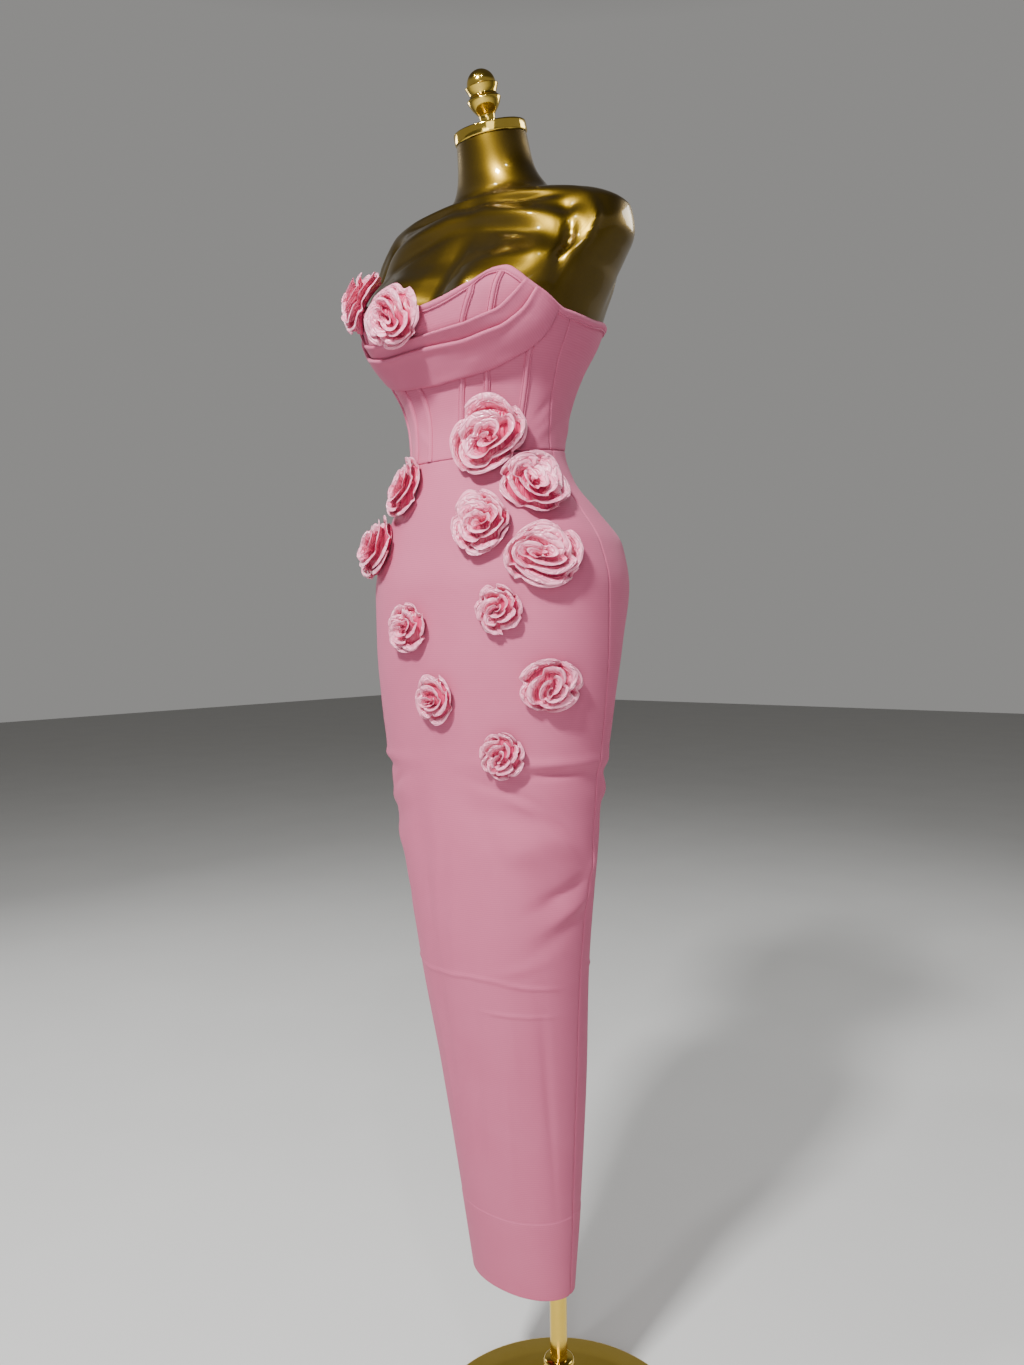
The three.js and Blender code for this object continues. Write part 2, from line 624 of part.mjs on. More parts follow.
function clothBehind(rose, x, y) {
  let { angle, height } = rose;
  for (let k = 0; k < 7; k += 1) {
    const miss = clothFace(angle, height).sub(rose.centre);
    const missX = x - miss.dot(rose.level);
    const missY = y - miss.dot(rose.upward);
    const round = clothFace(angle + 0.5, height).sub(clothFace(angle - 0.5, height));
    const up = clothFace(angle, height + 0.5).sub(clothFace(angle, height - 0.5));
    const a = round.dot(rose.level);
    const b = up.dot(rose.level);
    const c = round.dot(rose.upward);
    const d = up.dot(rose.upward);
    const area = a * d - b * c;
    const turn = (missX * d - missY * b) / area;
    const climb = (a * missY - c * missX) / area;
    angle += THREE.MathUtils.clamp(turn, -LONGEST_STEP.turn, LONGEST_STEP.turn);
    height += THREE.MathUtils.clamp(climb, -LONGEST_STEP.climb, LONGEST_STEP.climb);
  }
  return { angle, height, depth: clothFace(angle, height).sub(rose.centre).dot(rose.out) };
}

// Roses by the neckline are held off by the cowl's upper fold, where they cross it
function liftOf(rose, angle, height) {
  const { end, heights } = COWL_LINES.top;
  const edge = along(heights, Math.min(Math.abs(angle) / end, 1));
  const { below, above } = COWL_CROSSING;
  const crossing = 1 - THREE.MathUtils.smoothstep(height, edge - below, edge + above);
  return height > COWL_CROSSING.from ? rose.lift + COWL_CROSSING.lift * crossing : rose.lift;
}

function onRose(rose, x, y, height) {
  const behind = clothBehind(rose, x, y);
  const follow = 1 - ROSE_FOLLOW.share * (1 - Math.exp(-height / ROSE_FOLLOW.within));
  const rise = behind.depth * follow + liftOf(rose, behind.angle, behind.height) + height;
  return rose.centre.clone()
    .addScaledVector(rose.level, x)
    .addScaledVector(rose.upward, y)
    .addScaledVector(rose.out, rise);
}

// Two roses that touch press each other flat along the plane between them
function meetNeighbours(roses) {
  for (const rose of roses) {
    for (const other of roses) {
      const span = other.centre.clone().sub(rose.centre);
      const distance = span.length();
      if (other === rose || distance > rose.radius + other.radius + ROSE_REACH) continue;
      const towards = span.divideScalar(distance);
      const room = distance * rose.radius / (rose.radius + other.radius) - ROSE_GAP;
      const reach = RIBBON.rim * rose.radius + 1;
      const free = ROSE_FREE * room;
      const squeeze = Math.min((room - free) / (reach - free), 1);
      const inPlane = new THREE.Vector2(towards.dot(rose.level), towards.dot(rose.upward));
      rose.sides.push({ towards, free, squeeze, inPlane });
    }
  }
}

function rosePoint(rose, radius, turn, height) {
  const angle = 2 * Math.PI * turn + THREE.MathUtils.degToRad(rose.start);
  const place = new THREE.Vector2(radius * Math.cos(angle), radius * Math.sin(angle));
  for (const side of rose.sides) {
    const reach = () => onRose(rose, place.x, place.y, height).sub(rose.centre).dot(side.towards);
    const first = reach();
    if (first <= side.free) continue;
    const target = side.free + (first - side.free) * side.squeeze;
    for (let k = 0; k < 4; k += 1) place.addScaledVector(side.inPlane, target - reach());
  }
  return onRose(rose, place.x, place.y, height);
}

// The ribbon winds outwards in a spiral. Along it run three rows of points: the valley
// between turns, and the inner and outer side of the folded edge that stands up.
function roseSolid(rose) {
  const { steps } = rose;
  const last = Math.round(steps * rose.turns);
  const end = last + steps;
  const points = [];
  const faces = [];
  const turnOf = (i) => 2 * Math.PI * i / steps;
  const put = (radius, i, height) => points.push(rosePoint(rose, radius, i / steps, height)) - 1;
  const valleyRadius = (i) =>
    mix(RIBBON.core, RIBBON.rim * rose.radius, 1 - (1 - i / end) ** RIBBON.growth);
  const crestHeight = (i, radius) => rose.rise
    * (1 - ROSE_RISE.fall * (radius / rose.radius) ** 2)
    * (1 + ROSE_RISE.wave * Math.sin(ROSE_RISE.waves * turnOf(i) + rose.start));
  const valley = [];
  const inner = [];
  const outer = [];
  for (let i = 0; i <= end; i += 1) {
    const radius = valleyRadius(i);
    const rim = THREE.MathUtils.smoothstep(i, last - steps / 2, last + 2);
    valley.push(put(radius, i, crestHeight(i, radius) * mix(ROSE_RISE.valley, ROSE_RISE.rim, rim)));
  }
  for (let i = 0; i <= last; i += 1) {
    const low = valleyRadius(i);
    const high = valleyRadius(i + steps);
    const wave = RIBBON_WAVE.width * Math.sin(RIBBON_WAVE.count * turnOf(i));
    const room = high - low - RIBBON.edge;
    const wanted = mix(EDGE_PLACE.first, EDGE_PLACE.last, i / last) * room + wave;
    const at = low + THREE.MathUtils.clamp(wanted, EDGE_PLACE.least * room, room);
    const height = crestHeight(i, at);
    inner.push(put(at, i, height));
    outer.push(put(at + RIBBON.edge, i, height - EDGE_PLACE.drop));
  }
  const centre = put(0, 0, ROSE_RISE.middle * rose.rise);
  const quad = (a, b, c, d) => faces.push([a, b, c], [a, c, d]);
  for (let i = 0; i < last; i += 1) {
    quad(valley[i], inner[i], inner[i + 1], valley[i + 1]);
    quad(inner[i], outer[i], outer[i + 1], inner[i + 1]);
    quad(outer[i], valley[i + steps], valley[i + steps + 1], outer[i + 1]);
  }
  for (let i = 0; i < steps; i += 1) faces.push([centre, valley[i], valley[i + 1]]);
  const firstEdge = [valley[steps], outer[0], inner[0], valley[0]];
  for (let i = 0; i < 3; i += 1) faces.push([centre, firstEdge[i], firstEdge[i + 1]]);
  quad(valley[last], inner[last], outer[last], valley[end]);
  const foot = [];
  const sole = [];
  for (let i = 0; i < steps; i += 1) {
    foot.push(put(RIBBON.foot * rose.radius, last + i, 0));
    sole.push(put(RIBBON.sole * rose.radius, last + i, 0));
  }
  const heel = put(0, 0, 0);
  for (let i = 0; i < steps; i += 1) {
    const next = (i + 1) % steps;
    quad(valley[last + i], foot[i], foot[next], valley[last + i + 1]);
    quad(foot[next], foot[i], sole[i], sole[next]);
    faces.push([heel, sole[next], sole[i]]);
  }
  faces.push([foot[0], valley[last], valley[end]]);
  return closedSolid(points, faces);
}

function buildRoses() {
  const roses = ROSES.map(readRose);
  meetNeighbours(roses);
  for (const rose of roses) addPiece(rose.name, roseSolid(rose), ROSE_SATIN);
}

// Form and stand

// Stretches of the form from its lower edge to the neck: from, to, rows
const FORM_STRETCHES = [
  [FORM_BOTTOM, 1030, 4], [1030, 1330, 13], [1330, 1400, 3], [1400, 1469, 3], [1469, 1499, 3],
  [1499, 1535, 3], [1535, FORM_TOP, 1],
];

const FORM_SIDES = 28;
const CLOTH_TOP = { low: 1400, high: 1445 };   // the form comes out to the figure between these

function buildForm() {
  const heights = [];
  for (const [low, high, rows] of FORM_STRETCHES) {
    for (let k = 0; k < rows; k += 1) heights.push(mix(low, high, k / rows));
  }
  heights.push(FORM_TOP);
  const rings = heights.map((height) => {
    const bare = THREE.MathUtils.smoothstep(height, CLOTH_TOP.low, CLOTH_TOP.high);
    const inset = FORM_INSET * (1 - bare);
    const ring = [];
    for (let i = 0; i < FORM_SIDES; i += 1) {
      const angle = 360 * i / FORM_SIDES;
      const point = figureOfForm(angle, height);
      point.addScaledVector(outward(figureOfForm, angle, height), -inset);
      if (height === FORM_BOTTOM) point.z = FORM_BOTTOM;
      ring.push(point);
    }
    return ring;
  });
  addPiece('torso_form', loftSolid(rings), GOLD_PAINT);
}

function buildNeck() {
  const top = along(SECTIONS, FORM_TOP, SECTION_COLUMNS.indexOf('back'));
  const bottom = along(SECTIONS, FORM_TOP, SECTION_COLUMNS.indexOf('front'));
  const neck = new THREE.Group();
  neck.position.set(0, (top - bottom) / 2, FORM_TOP);
  neck.rotation.x = THREE.MathUtils.degToRad(NECK_TILT);
  const { radius, height, bevel } = CAP;
  const capProfile = [[0, 0], [radius - bevel, 0], [radius, bevel], [radius, height - bevel],
    [radius - bevel, height], [0, height]];
  const cap = addPiece('neck_cap', turnedSolid(capProfile, 28), GOLD_PLATE);
  cap.position.z = SEAM_GAP;
  const ball = [];
  for (let k = 1; k <= 5; k += 1) {
    const angle = Math.PI / 2 * k / 5;
    const { radius: ballRadius, centre } = FINIAL_BALL;
    ball.push([ballRadius * Math.cos(angle), centre + ballRadius * Math.sin(angle)]);
  }
  ball.at(-1)[0] = 0;
  const finial = addPiece('finial', turnedSolid([...FINIAL_PROFILE, ...ball], 14), GOLD_PLATE);
  finial.position.z = height + 2 * SEAM_GAP;
  neck.add(cap, finial);
  dress.add(neck);
}

function buildStand() {
  const poleBottom = BASE_PROFILE.at(-1)[1] + SEAM_GAP;
  const poleTop = FORM_BOTTOM - SEAM_GAP;
  const poleProfile = [
    [0, poleBottom], [POLE.radius, poleBottom], [POLE.radius, poleTop - POLE_FLANGE.height],
    [POLE_FLANGE.radius, poleTop - POLE_FLANGE.height], [POLE_FLANGE.radius, poleTop], [0, poleTop],
  ];
  const pole = addPiece('pole', turnedSolid(poleProfile, 20), GOLD_PLATE);
  const base = addPiece('stand_base', turnedSolid(BASE_PROFILE, 28), GOLD_PLATE);
  for (const piece of [pole, base]) piece.position.set(POLE.x, POLE.y, 0);
}

// Zip

function buildZip() {
  const halfWidth = SLIDER.width / 2;
  const back = clothPoint(180, SLIDER.top - SLIDER.length / 2, SLIDER.clear).y;
  const channel = new THREE.Shape();
  channel.moveTo(-halfWidth, 0);
  channel.lineTo(halfWidth, 0);
  channel.lineTo(halfWidth, SLIDER.ears);
  channel.lineTo(halfWidth - SLIDER.ear, SLIDER.ears);
  channel.lineTo(halfWidth - SLIDER.ear, SLIDER.floor);
  channel.lineTo(-halfWidth + SLIDER.ear, SLIDER.floor);
  channel.lineTo(-halfWidth + SLIDER.ear, SLIDER.ears);
  channel.lineTo(-halfWidth, SLIDER.ears);
  const sliderSolid = new THREE.ExtrudeGeometry(channel, { depth: SLIDER.length, bevelEnabled: false });
  const slider = addPiece('zip_slider', sliderSolid, GOLD_PLATE);
  slider.position.set(0, back, SLIDER.top - SLIDER.length);

  // The pull's side view: a round bar on its hinge line, and a tab that hangs from it
  const side = new THREE.Shape();
  const half = PULL.thickness / 2;
  const root = Math.asin(half / PULL.bar);
  side.absarc(0, 0, PULL.bar, -Math.PI / 2 + root, 3 * Math.PI / 2 - root, false);
  side.lineTo(-half, -PULL.length + half);
  side.absarc(0, -PULL.length + half, half, Math.PI, 2 * Math.PI, false);
  const pullSolid = new THREE.ExtrudeGeometry(side, {
    depth: PULL.width, bevelEnabled: false, curveSegments: 6,
  });
  pullSolid.translate(0, 0, -PULL.width / 2);
  pullSolid.rotateY(Math.PI / 2);
  pullSolid.rotateX(Math.PI / 2);
  const pull = addPiece('zip_pull', pullSolid, GOLD_PLATE);
  pull.position.set(0, back + SLIDER.floor + PULL.reach + PULL.bar, SLIDER.top - PULL.drop);
}

buildBodice();
buildChannels();
buildNeckBand();
buildCowl();
buildSkirt();
buildRoses();
buildForm();
buildNeck();
buildStand();
buildZip();

export default dress;
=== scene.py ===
"""A bodycon dress on a gold dress form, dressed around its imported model.

Every place is in the row frame: +Z up, the dress faces -Y, and x = 0 is its middle plane. Shapes are
worked out in millimetres and become metres when a mesh is made. Angles run round the body in degrees:
0 at the centre front, 90 at the wearer's left side (+X), 180 at the centre back.
"""
import math

import bpy
import numpy as np
from mathutils import Matrix


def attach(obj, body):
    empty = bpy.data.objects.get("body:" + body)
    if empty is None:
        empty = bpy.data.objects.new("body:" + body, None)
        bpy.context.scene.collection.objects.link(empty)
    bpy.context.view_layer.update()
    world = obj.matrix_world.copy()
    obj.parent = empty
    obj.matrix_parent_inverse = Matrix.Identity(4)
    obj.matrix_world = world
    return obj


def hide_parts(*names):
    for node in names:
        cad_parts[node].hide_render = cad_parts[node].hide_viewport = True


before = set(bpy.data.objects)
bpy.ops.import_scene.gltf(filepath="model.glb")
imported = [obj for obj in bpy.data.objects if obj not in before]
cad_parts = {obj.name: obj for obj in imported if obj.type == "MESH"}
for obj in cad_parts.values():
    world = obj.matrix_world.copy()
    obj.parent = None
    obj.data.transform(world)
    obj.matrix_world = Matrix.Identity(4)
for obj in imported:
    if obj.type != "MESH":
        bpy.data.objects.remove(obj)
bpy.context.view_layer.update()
BODY = "dress_on_form"

# The dress form
# A limbless torso of moulded fibreglass, sprayed with metallic gold paint and lacquered. It
# tapers to a neck that leans forward, and it ends inside the skirt, where its edge shows.
FORM_BOTTOM = 838
FORM_TOP = 1571
FORM_INSET = 4
# height, then half width, front, back, middle, power, bust, seat, shift, tilt and lean of a ring
SECTIONS = [
    [150, 69, 28, 44, 10, 2.1, 0, 0, 21, 0, 0],
    [300, 81, 53, 69, 8, 2.1, 0, 0, 18, 0, 0],
    [450, 95, 75, 78, 4, 2.1, 0, 0, 14, 0, 0],
    [600, 112, 97, 73, 0, 2.1, 0, 0, 8, 0, 0],
    [740, 134, 106, 70, 0, 2.1, 0, 0, 3, 0, 0],
    [836, 149, 110, 74, 0, 2.2, 0, 0, 0, 0, 0],
    [905, 158, 115, 84, 0, 2.2, 0, 3, 0, 0, 0],
    [970, 163, 118, 107, 0, 2.2, 0, 7, 0, 0, 0],
    [1035, 164, 118, 134, 0, 2.2, 0, 10, 0, 0, 0],
    [1085, 154, 110, 136, -3, 2.2, 0, 7, 0, 0, 0],
    [1125, 130, 104, 104, -8, 2.2, 0, 2, 0, 0, 0],
    [1160, 107, 97, 76, -12, 2.15, 0, 0, 0, 0, 0],
    [1195, 98, 91, 66, -15, 2.1, 0, 0, 0, 0, 0],
    [1225, 101, 89, 71, -16, 2.1, 0, 0, 0, 0, 0],
    [1255, 108, 92, 79, -18, 2.15, 1, 0, 0, 0, 0],
    [1285, 119, 103, 87, -21, 2.3, 7, 0, 0, 0, 0],
    [1320, 138, 116, 97, -25, 2.5, 22, 0, 0, 0, 0],
    [1350, 150, 122, 101, -28, 2.6, 20, 0, 0, 0, 0],
    [1385, 164, 105, 104, -24, 2.6, 13, 0, 1, 0, 0.01],
    [1412, 171, 82, 102, -10, 2.5, 5, 0, 5, 0, 0.03],
    [1440, 175, 64, 98, 4, 2.4, 0, 0, 8, 0, 0.055],
    [1469, 171, 50, 90, 14, 2.3, 0, 0, 7, 0, 0.075],
    [1484, 152, 42, 80, 17, 2.2, 0, 0, 6, 0, 0.08],
    [1490, 121, 38, 71, 15, 2.1, 0, 0, 7, 0, 0.07],
    [1495, 85, 34, 63, 10, 2.05, 0, 0, 6, 2, 0.045],
    [1512, 61, 31, 58, 8, 2, 0, 0, 4, 8, 0.01],
    [1535, 48.5, 33, 51, 6, 2, 0, 0, 1, 14, 0],
    [1571, 42, 39, 43, 2, 2, 0, 0, 0, 17, 0],
]
CUP_APART, CUP_SPREAD, CUP_BRIDGE = 72, 36, 0.72
SEAT_SPREAD = 50
# Moulded relief of the form: angle, height, half length, half width, turn from level, rise
FORM_RELIEF = [
    [22, 1477, 46, 6, -4, -6.5],
    [-22, 1477, 46, 6, 4, -6.5],
    [22, 1450, 56, 12, -13, 6.5],
    [-22, 1450, 56, 12, 13, 6.5],
    [24, 1428, 52, 7, -16, -2.6],
    [-24, 1428, 52, 7, 16, -2.6],
    [0, 1474, 12, 14, 0, -3.0],
    [58, 1406, 44, 9.5, -52, -10.0],
    [-58, 1406, 44, 9.5, 52, -10.0],
    [68, 1428, 42, 10, -58, 5.0],
    [-68, 1428, 42, 10, 58, 5.0],
    [46, 1456, 16, 11, 0, -4.5],
    [-46, 1456, 16, 11, 0, -4.5],
    [180, 1400, 60, 7, 90, -5.0],
    [148, 1408, 40, 14, 62, 4.0],
    [-148, 1408, 40, 14, -62, 4.0],
    [126, 1400, 40, 8, 60, -5.0],
    [-126, 1400, 40, 8, -60, -5.0],
    [42, 1402, 30, 9, -48, 2.4],
    [-42, 1402, 30, 9, 48, 2.4],
    [2, 1374, 44, 8, 90, -9.0],
]


def smooth_curve(rows):
    """Smooth, monotone curves through a table, from its first column to each of the others."""
    rows = np.array(rows, float)
    x, y = rows[:, 0], rows[:, 1:]
    step = np.diff(x)[:, None]
    rate = np.diff(y, axis=0) / step
    before, after = 2 * step[1:] + step[:-1], step[1:] + 2 * step[:-1]
    turns = rate[:-1] * rate[1:] <= 0
    early, late = np.where(turns, 1, rate[:-1]), np.where(turns, 1, rate[1:])
    inner = (before + after) / (before / early + after / late)
    slope = np.vstack([rate[:1], np.where(turns, 0, inner), rate[-1:]])

    def at(value):
        value = np.clip(value, x[0], x[-1])
        i = np.clip(np.searchsorted(x, value, side="right") - 1, 0, len(x) - 2)
        h = step[i]
        t = (value - x[i])[..., None] / h
        return (
            (2 * t**3 - 3 * t**2 + 1) * y[i]
            + (t**3 - 2 * t**2 + t) * h * slope[i]
            + (3 * t**2 - 2 * t**3) * y[i + 1]
            + (t**3 - t**2) * h * slope[i + 1]
        )

    return at


def bell(distance, width):
    return np.exp(-((distance / width) ** 2))


def mix(a, b, share):
    return a + (b - a) * share


def smoothstep(value, low, high):
    t = np.clip((value - low) / (high - low), 0, 1)
    return t * t * (3 - 2 * t)


def wrap_angle(angle):
    return (angle + 180) % 360 - 180


section_at = smooth_curve(SECTIONS)


def figure(angle, height, bridge):
    """Points of the figure; bridge is 1 for cloth, which spans the cups, and 0 for the form."""
    angle, height = np.broadcast_arrays(np.asarray(angle, float), np.asarray(height, float))
    half, front, back, middle, power, bust, seat, shift, tilt, lean = np.moveaxis(section_at(height), -1, 0)
    sine, cosine = np.sin(np.radians(angle)), np.cos(np.radians(angle))
    x = half * np.sign(sine) * np.abs(sine) ** (2 / power)
    depth = np.sign(cosine) * np.abs(cosine) ** (2 / power)
    ahead, behind = np.maximum(depth, 0), np.maximum(-depth, 0)
    lobe = bell(np.abs(x) - CUP_APART, CUP_SPREAD)
    spanned = mix(lobe, CUP_BRIDGE + (1 - CUP_BRIDGE) * lobe, bridge)
    lobe = np.where(np.abs(x) < CUP_APART, spanned, lobe)
    y = (
        middle
        - (front + middle) * ahead
        + (back - middle) * behind
        - bust * np.sqrt(ahead) * lobe
        + seat * np.sqrt(behind) * bell(np.abs(x) - CUP_APART, SEAT_SPREAD)
    )
    slope = np.tan(np.radians(tilt))
    return np.stack([x + shift, y, height + (y - (back - front) / 2) * slope - lean * x], axis=-1)


def cloth_figure(angle, height):
    return figure(angle, height, 1)


def form_figure(angle, height):
    return figure(angle, height, 0)


def unit(vectors):
    return vectors / np.maximum(np.linalg.norm(vectors, axis=-1, keepdims=True), 1e-9)


def outward(surface, angle, height):
    """The outward direction of a surface given as a function of angle and height."""
    around = surface(angle + 0.05, height) - surface(angle - 0.05, height)
    up = surface(angle, height + 0.5) - surface(angle, height - 0.5)
    return unit(np.cross(around, up))


def relief(rows, angle, height, girth):
    """Soft ridges and troughs from a table. girth is the millimetres round the body in a degree."""
    rise = 0
    for row_angle, row_height, along, across, turn, depth in rows:
        around = wrap_angle(angle - row_angle) * girth
        up = height - row_height
        sine, cosine = math.sin(math.radians(turn)), math.cos(math.radians(turn))
        ridge = depth * bell(around * cosine + up * sine, along)
        rise = rise + ridge * bell(up * cosine - around * sine, across)
    return rise


def piece_from(name, points, faces, uv=None, material=None, sharp_over=40):
    """A mesh piece from points in millimetres. uv is one pair in metres for each point."""
    mesh = bpy.data.meshes.new(name)
    mesh.from_pydata((np.asarray(points) / 1000).tolist(), [], faces)
    if uv is not None:
        corner = np.zeros(len(mesh.loops), np.int32)
        mesh.loops.foreach_get("vertex_index", corner)
        layer = mesh.uv_layers.new(name="weave")
        layer.data.foreach_set("uv", np.asarray(uv, np.float32)[corner].ravel())
    mesh.polygons.foreach_set("use_smooth", np.ones(len(mesh.polygons), bool))
    mesh.set_sharp_from_angle(angle=math.radians(sharp_over))
    mesh.validate()
    made = bpy.data.objects.new(name, mesh)
    bpy.context.scene.collection.objects.link(made)
    if material:
        mesh.materials.append(material)
    return made


def grid_faces(rows, columns, start=0, wrap=False, flip=False):
    """Quads of a grid whose points run along each row in turn; wrap joins the last column to the first."""
    across = columns if wrap else columns - 1
    i, j = np.meshgrid(np.arange(rows - 1), np.arange(across), indexing="ij")
    a = start + i * columns + j
    b = start + i * columns + (j + 1) % columns
    quads = np.stack([a, b, b + columns, a + columns], axis=-1).reshape(-1, 4)
    return (quads[:, ::-1] if flip else quads).tolist()


def srgb(code):
    """A colour given as sRGB hex, turned to linear."""
    parts = [int(code[i : i + 2], 16) / 255 for i in (1, 3, 5)]
    return tuple(c / 12.92 if c <= 0.04045 else ((c + 0.055) / 1.055) ** 2.4 for c in parts) + (1.0,)


def add_node(tree, kind, settings=None, inputs=None):
    """A node with its settings; an input is given a value, or another node's output to link."""
    made = tree.nodes.new(kind)
    for name, value in (settings or {}).items():
        setattr(made, name, value)
    for key, value in (inputs or {}).items():
        if isinstance(value, bpy.types.NodeSocket):
            tree.links.new(value, made.inputs[key])
        else:
            made.inputs[key].default_value = value
    return made


def new_material(name, settings):
    """A material whose shader has those values on its own sockets."""
    made = bpy.data.materials.new(name)
    made.use_nodes = True
    shader = made.node_tree.nodes["Principled BSDF"]
    for key, value in settings.items():
        shader.inputs[key].default_value = value
    return made, made.node_tree, shader


# Metallic gold lacquer on fibreglass: aluminium and mica flakes in an olive gold base, which give
# a broad soft shine, under a clear coat that gives the small sharp lights
gold_lacquer, tree, shader = new_material(
    "metallic_gold_lacquer",
    {"Metallic": 1.0, "Roughness": 0.33, "Coat Weight": 0.6, "Coat Roughness": 0.05},
)
FLAKE_MM = 1.6  # real flakes are 0.05 mm, and are drawn this coarse so that they show
place = add_node(tree, "ShaderNodeTexCoord")
flakes = add_node(
    tree, "ShaderNodeTexNoise", {"noise_dimensions": "3D"},
    {"Vector": place.outputs["Object"], "Scale": 1000 / FLAKE_MM, "Detail": 1.0},
)
cloud = add_node(
    tree, "ShaderNodeTexNoise", {}, {"Vector": place.outputs["Object"], "Scale": 9.0, "Detail": 2.0}
)
mottle = add_node(
    tree, "ShaderNodeMix", {"data_type": "FLOAT"}, {0: 0.25, 2: cloud.outputs[0], 3: flakes.outputs[0]}
)
tint = add_node(tree, "ShaderNodeValToRGB", {}, {"Fac": mottle.outputs[0]})
for stop, position, code in zip(tint.color_ramp.elements, (0.3, 0.7), ("#654F12", "#7A6219")):
    stop.position, stop.color = position, srgb(code)
grain = add_node(
    tree, "ShaderNodeBump", {}, {"Strength": 0.12, "Distance": 0.0002, "Height": flakes.outputs[0]}
)
tree.links.new(tint.outputs["Color"], shader.inputs["Base Color"])
tree.links.new(grain.outputs["Normal"], shader.inputs["Normal"])

FORM_COLUMNS = 144
FORM_ROWS = ((FORM_BOTTOM, 1380, 6), (1380, 1530, 2.5), (1530, FORM_TOP, 4), (FORM_TOP, FORM_TOP + 1, 1))
FORM_GIRTH = 2.6  # millimetres round the form in one degree
BARE_FROM, BARE_ABOVE = 1400, 1445  # between these heights the form comes out to the figure
END_SHARES = (0.94, 0.5)  # sizes of the rings that close each end


def rows_between(spans):
    """Heights of a mesh's rows, from spans that each give a first height, an end and a step."""
    return np.concatenate([np.arange(*span) for span in spans])


form_heights = rows_between(FORM_ROWS)
form_angles = np.arange(FORM_COLUMNS) * 360 / FORM_COLUMNS
ring_angle, ring_height = np.meshgrid(form_angles, form_heights)
form_out = outward(form_figure, ring_angle, ring_height)
form_inset = FORM_INSET * (1 - smoothstep(ring_height, BARE_FROM, BARE_ABOVE))
form_rise = relief(FORM_RELIEF, ring_angle, ring_height, FORM_GIRTH) - form_inset
form_points = form_figure(ring_angle, ring_height) + form_out * form_rise[..., None]
form_points[0, :, 2] = FORM_BOTTOM  # the lower edge is cut level
under = form_points[0].mean(axis=0)
over = form_points[-1].mean(axis=0)
closing = [under + (form_points[0] - under) * share for share in END_SHARES]
capping = [over + (form_points[-1] - over) * share for share in END_SHARES]
rings = np.concatenate([closing[::-1], form_points, capping])
count = len(rings)
faces = grid_faces(count, FORM_COLUMNS, wrap=True)
points = np.concatenate([rings.reshape(-1, 3), [under], [over]])
last = (count - 1) * FORM_COLUMNS
for k in range(FORM_COLUMNS):
    after = (k + 1) % FORM_COLUMNS
    faces.append([after, k, count * FORM_COLUMNS])
    faces.append([last + k, last + after, count * FORM_COLUMNS + 1])
form = piece_from("dress_form", points, faces, material=gold_lacquer)
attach(form, BODY)
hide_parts("torso_form")

# The neck cap and the finial
# The cap is a spun brass disc, gold plated and polished, that closes the neck. The finial is a
# solid turned knob screwed through it. Both lean forward with the neck.
NECK_TILT = 17
CAP_HEIGHT = 13
CAP_PROFILE = [
    [0, 0], [38, 0], [43, 0.3], [43.8, 1.2], [44, 2.2], [44, 10.6], [43.8, 11.8], [43, 12.7], [41, 13],
    [16, 13], [15.4, 13.3], [14.4, 13.4], [0, 13.4],
]
FINIAL_PROFILE = [
    [0, 0.2], [13.3, 0.2], [13.1, 1], [11.3, 2.2], [10.2, 3], [9.6, 4.4], [9.4, 6], [9.2, 9], [9.2, 13],
    [9.8, 14.2], [11, 15.4], [13, 17.6], [15.2, 20.4], [17.2, 23.6], [18.8, 26.8], [19.9, 29.4],
    [20, 30.4], [19.5, 31.6], [18.1, 32.8], [16.6, 34.4], [16, 36], [16.5, 37.8], [17.8, 40.6],
    [19.1, 43.2], [19.6, 44.4], [19.4, 45.3], [18.2, 45.7], [17.2, 45.8], [17.1, 46.1],
]
BALL_RADIUS, BALL_CENTRE, BALL_STEPS = 17.3, 46.2, 14
TURNED_SIDES, FINIAL_SIDES = 128, 96

gold_plate, tree, shader = new_material("polished_gold_plate", {"Metallic": 1.0, "Roughness": 0.09})
place = add_node(tree, "ShaderNodeTexCoord")
handling = add_node(
    tree, "ShaderNodeTexNoise", {}, {"Vector": place.outputs["Object"], "Scale": 60.0, "Detail": 4.0}
)
wear = add_node(
    tree, "ShaderNodeMapRange", {},
    {"Value": handling.outputs[0], "From Min": 0.3, "From Max": 0.75, "To Min": 0.06, "To Max": 0.17},
)
tint = add_node(tree, "ShaderNodeValToRGB", {}, {"Fac": handling.outputs[0]})
tint.color_ramp.elements[0].color = srgb("#D8B64A")
tint.color_ramp.elements[1].color = srgb("#E4C45E")
tree.links.new(tint.outputs["Color"], shader.inputs["Base Color"])
tree.links.new(wear.outputs["Result"], shader.inputs["Roughness"])


def new_tree(name, inputs, result):
    """A geometry node tree with named inputs of those kinds, and the outputs of its input node."""
    made = bpy.data.node_groups.new(name, "GeometryNodeTree")
    for label, kind in inputs.items():
        made.interface.new_socket(label, in_out="INPUT", socket_type="NodeSocket" + kind)
    made.interface.new_socket(result, in_out="OUTPUT", socket_type="NodeSocketGeometry")
    return made, add_node(made, "NodeGroupInput").outputs


def end_tree(tree, geometry, finish):
    """Ends a tree: its instances made real, its material set, and its output."""
    real = add_node(tree, "GeometryNodeRealizeInstances", {}, {"Geometry": geometry})
    finished = add_node(
        tree, "GeometryNodeSetMaterial", {}, {"Geometry": real.outputs["Geometry"], "Material": finish}
    )
    add_node(tree, "NodeGroupOutput", {}, {0: finished.outputs["Geometry"]})


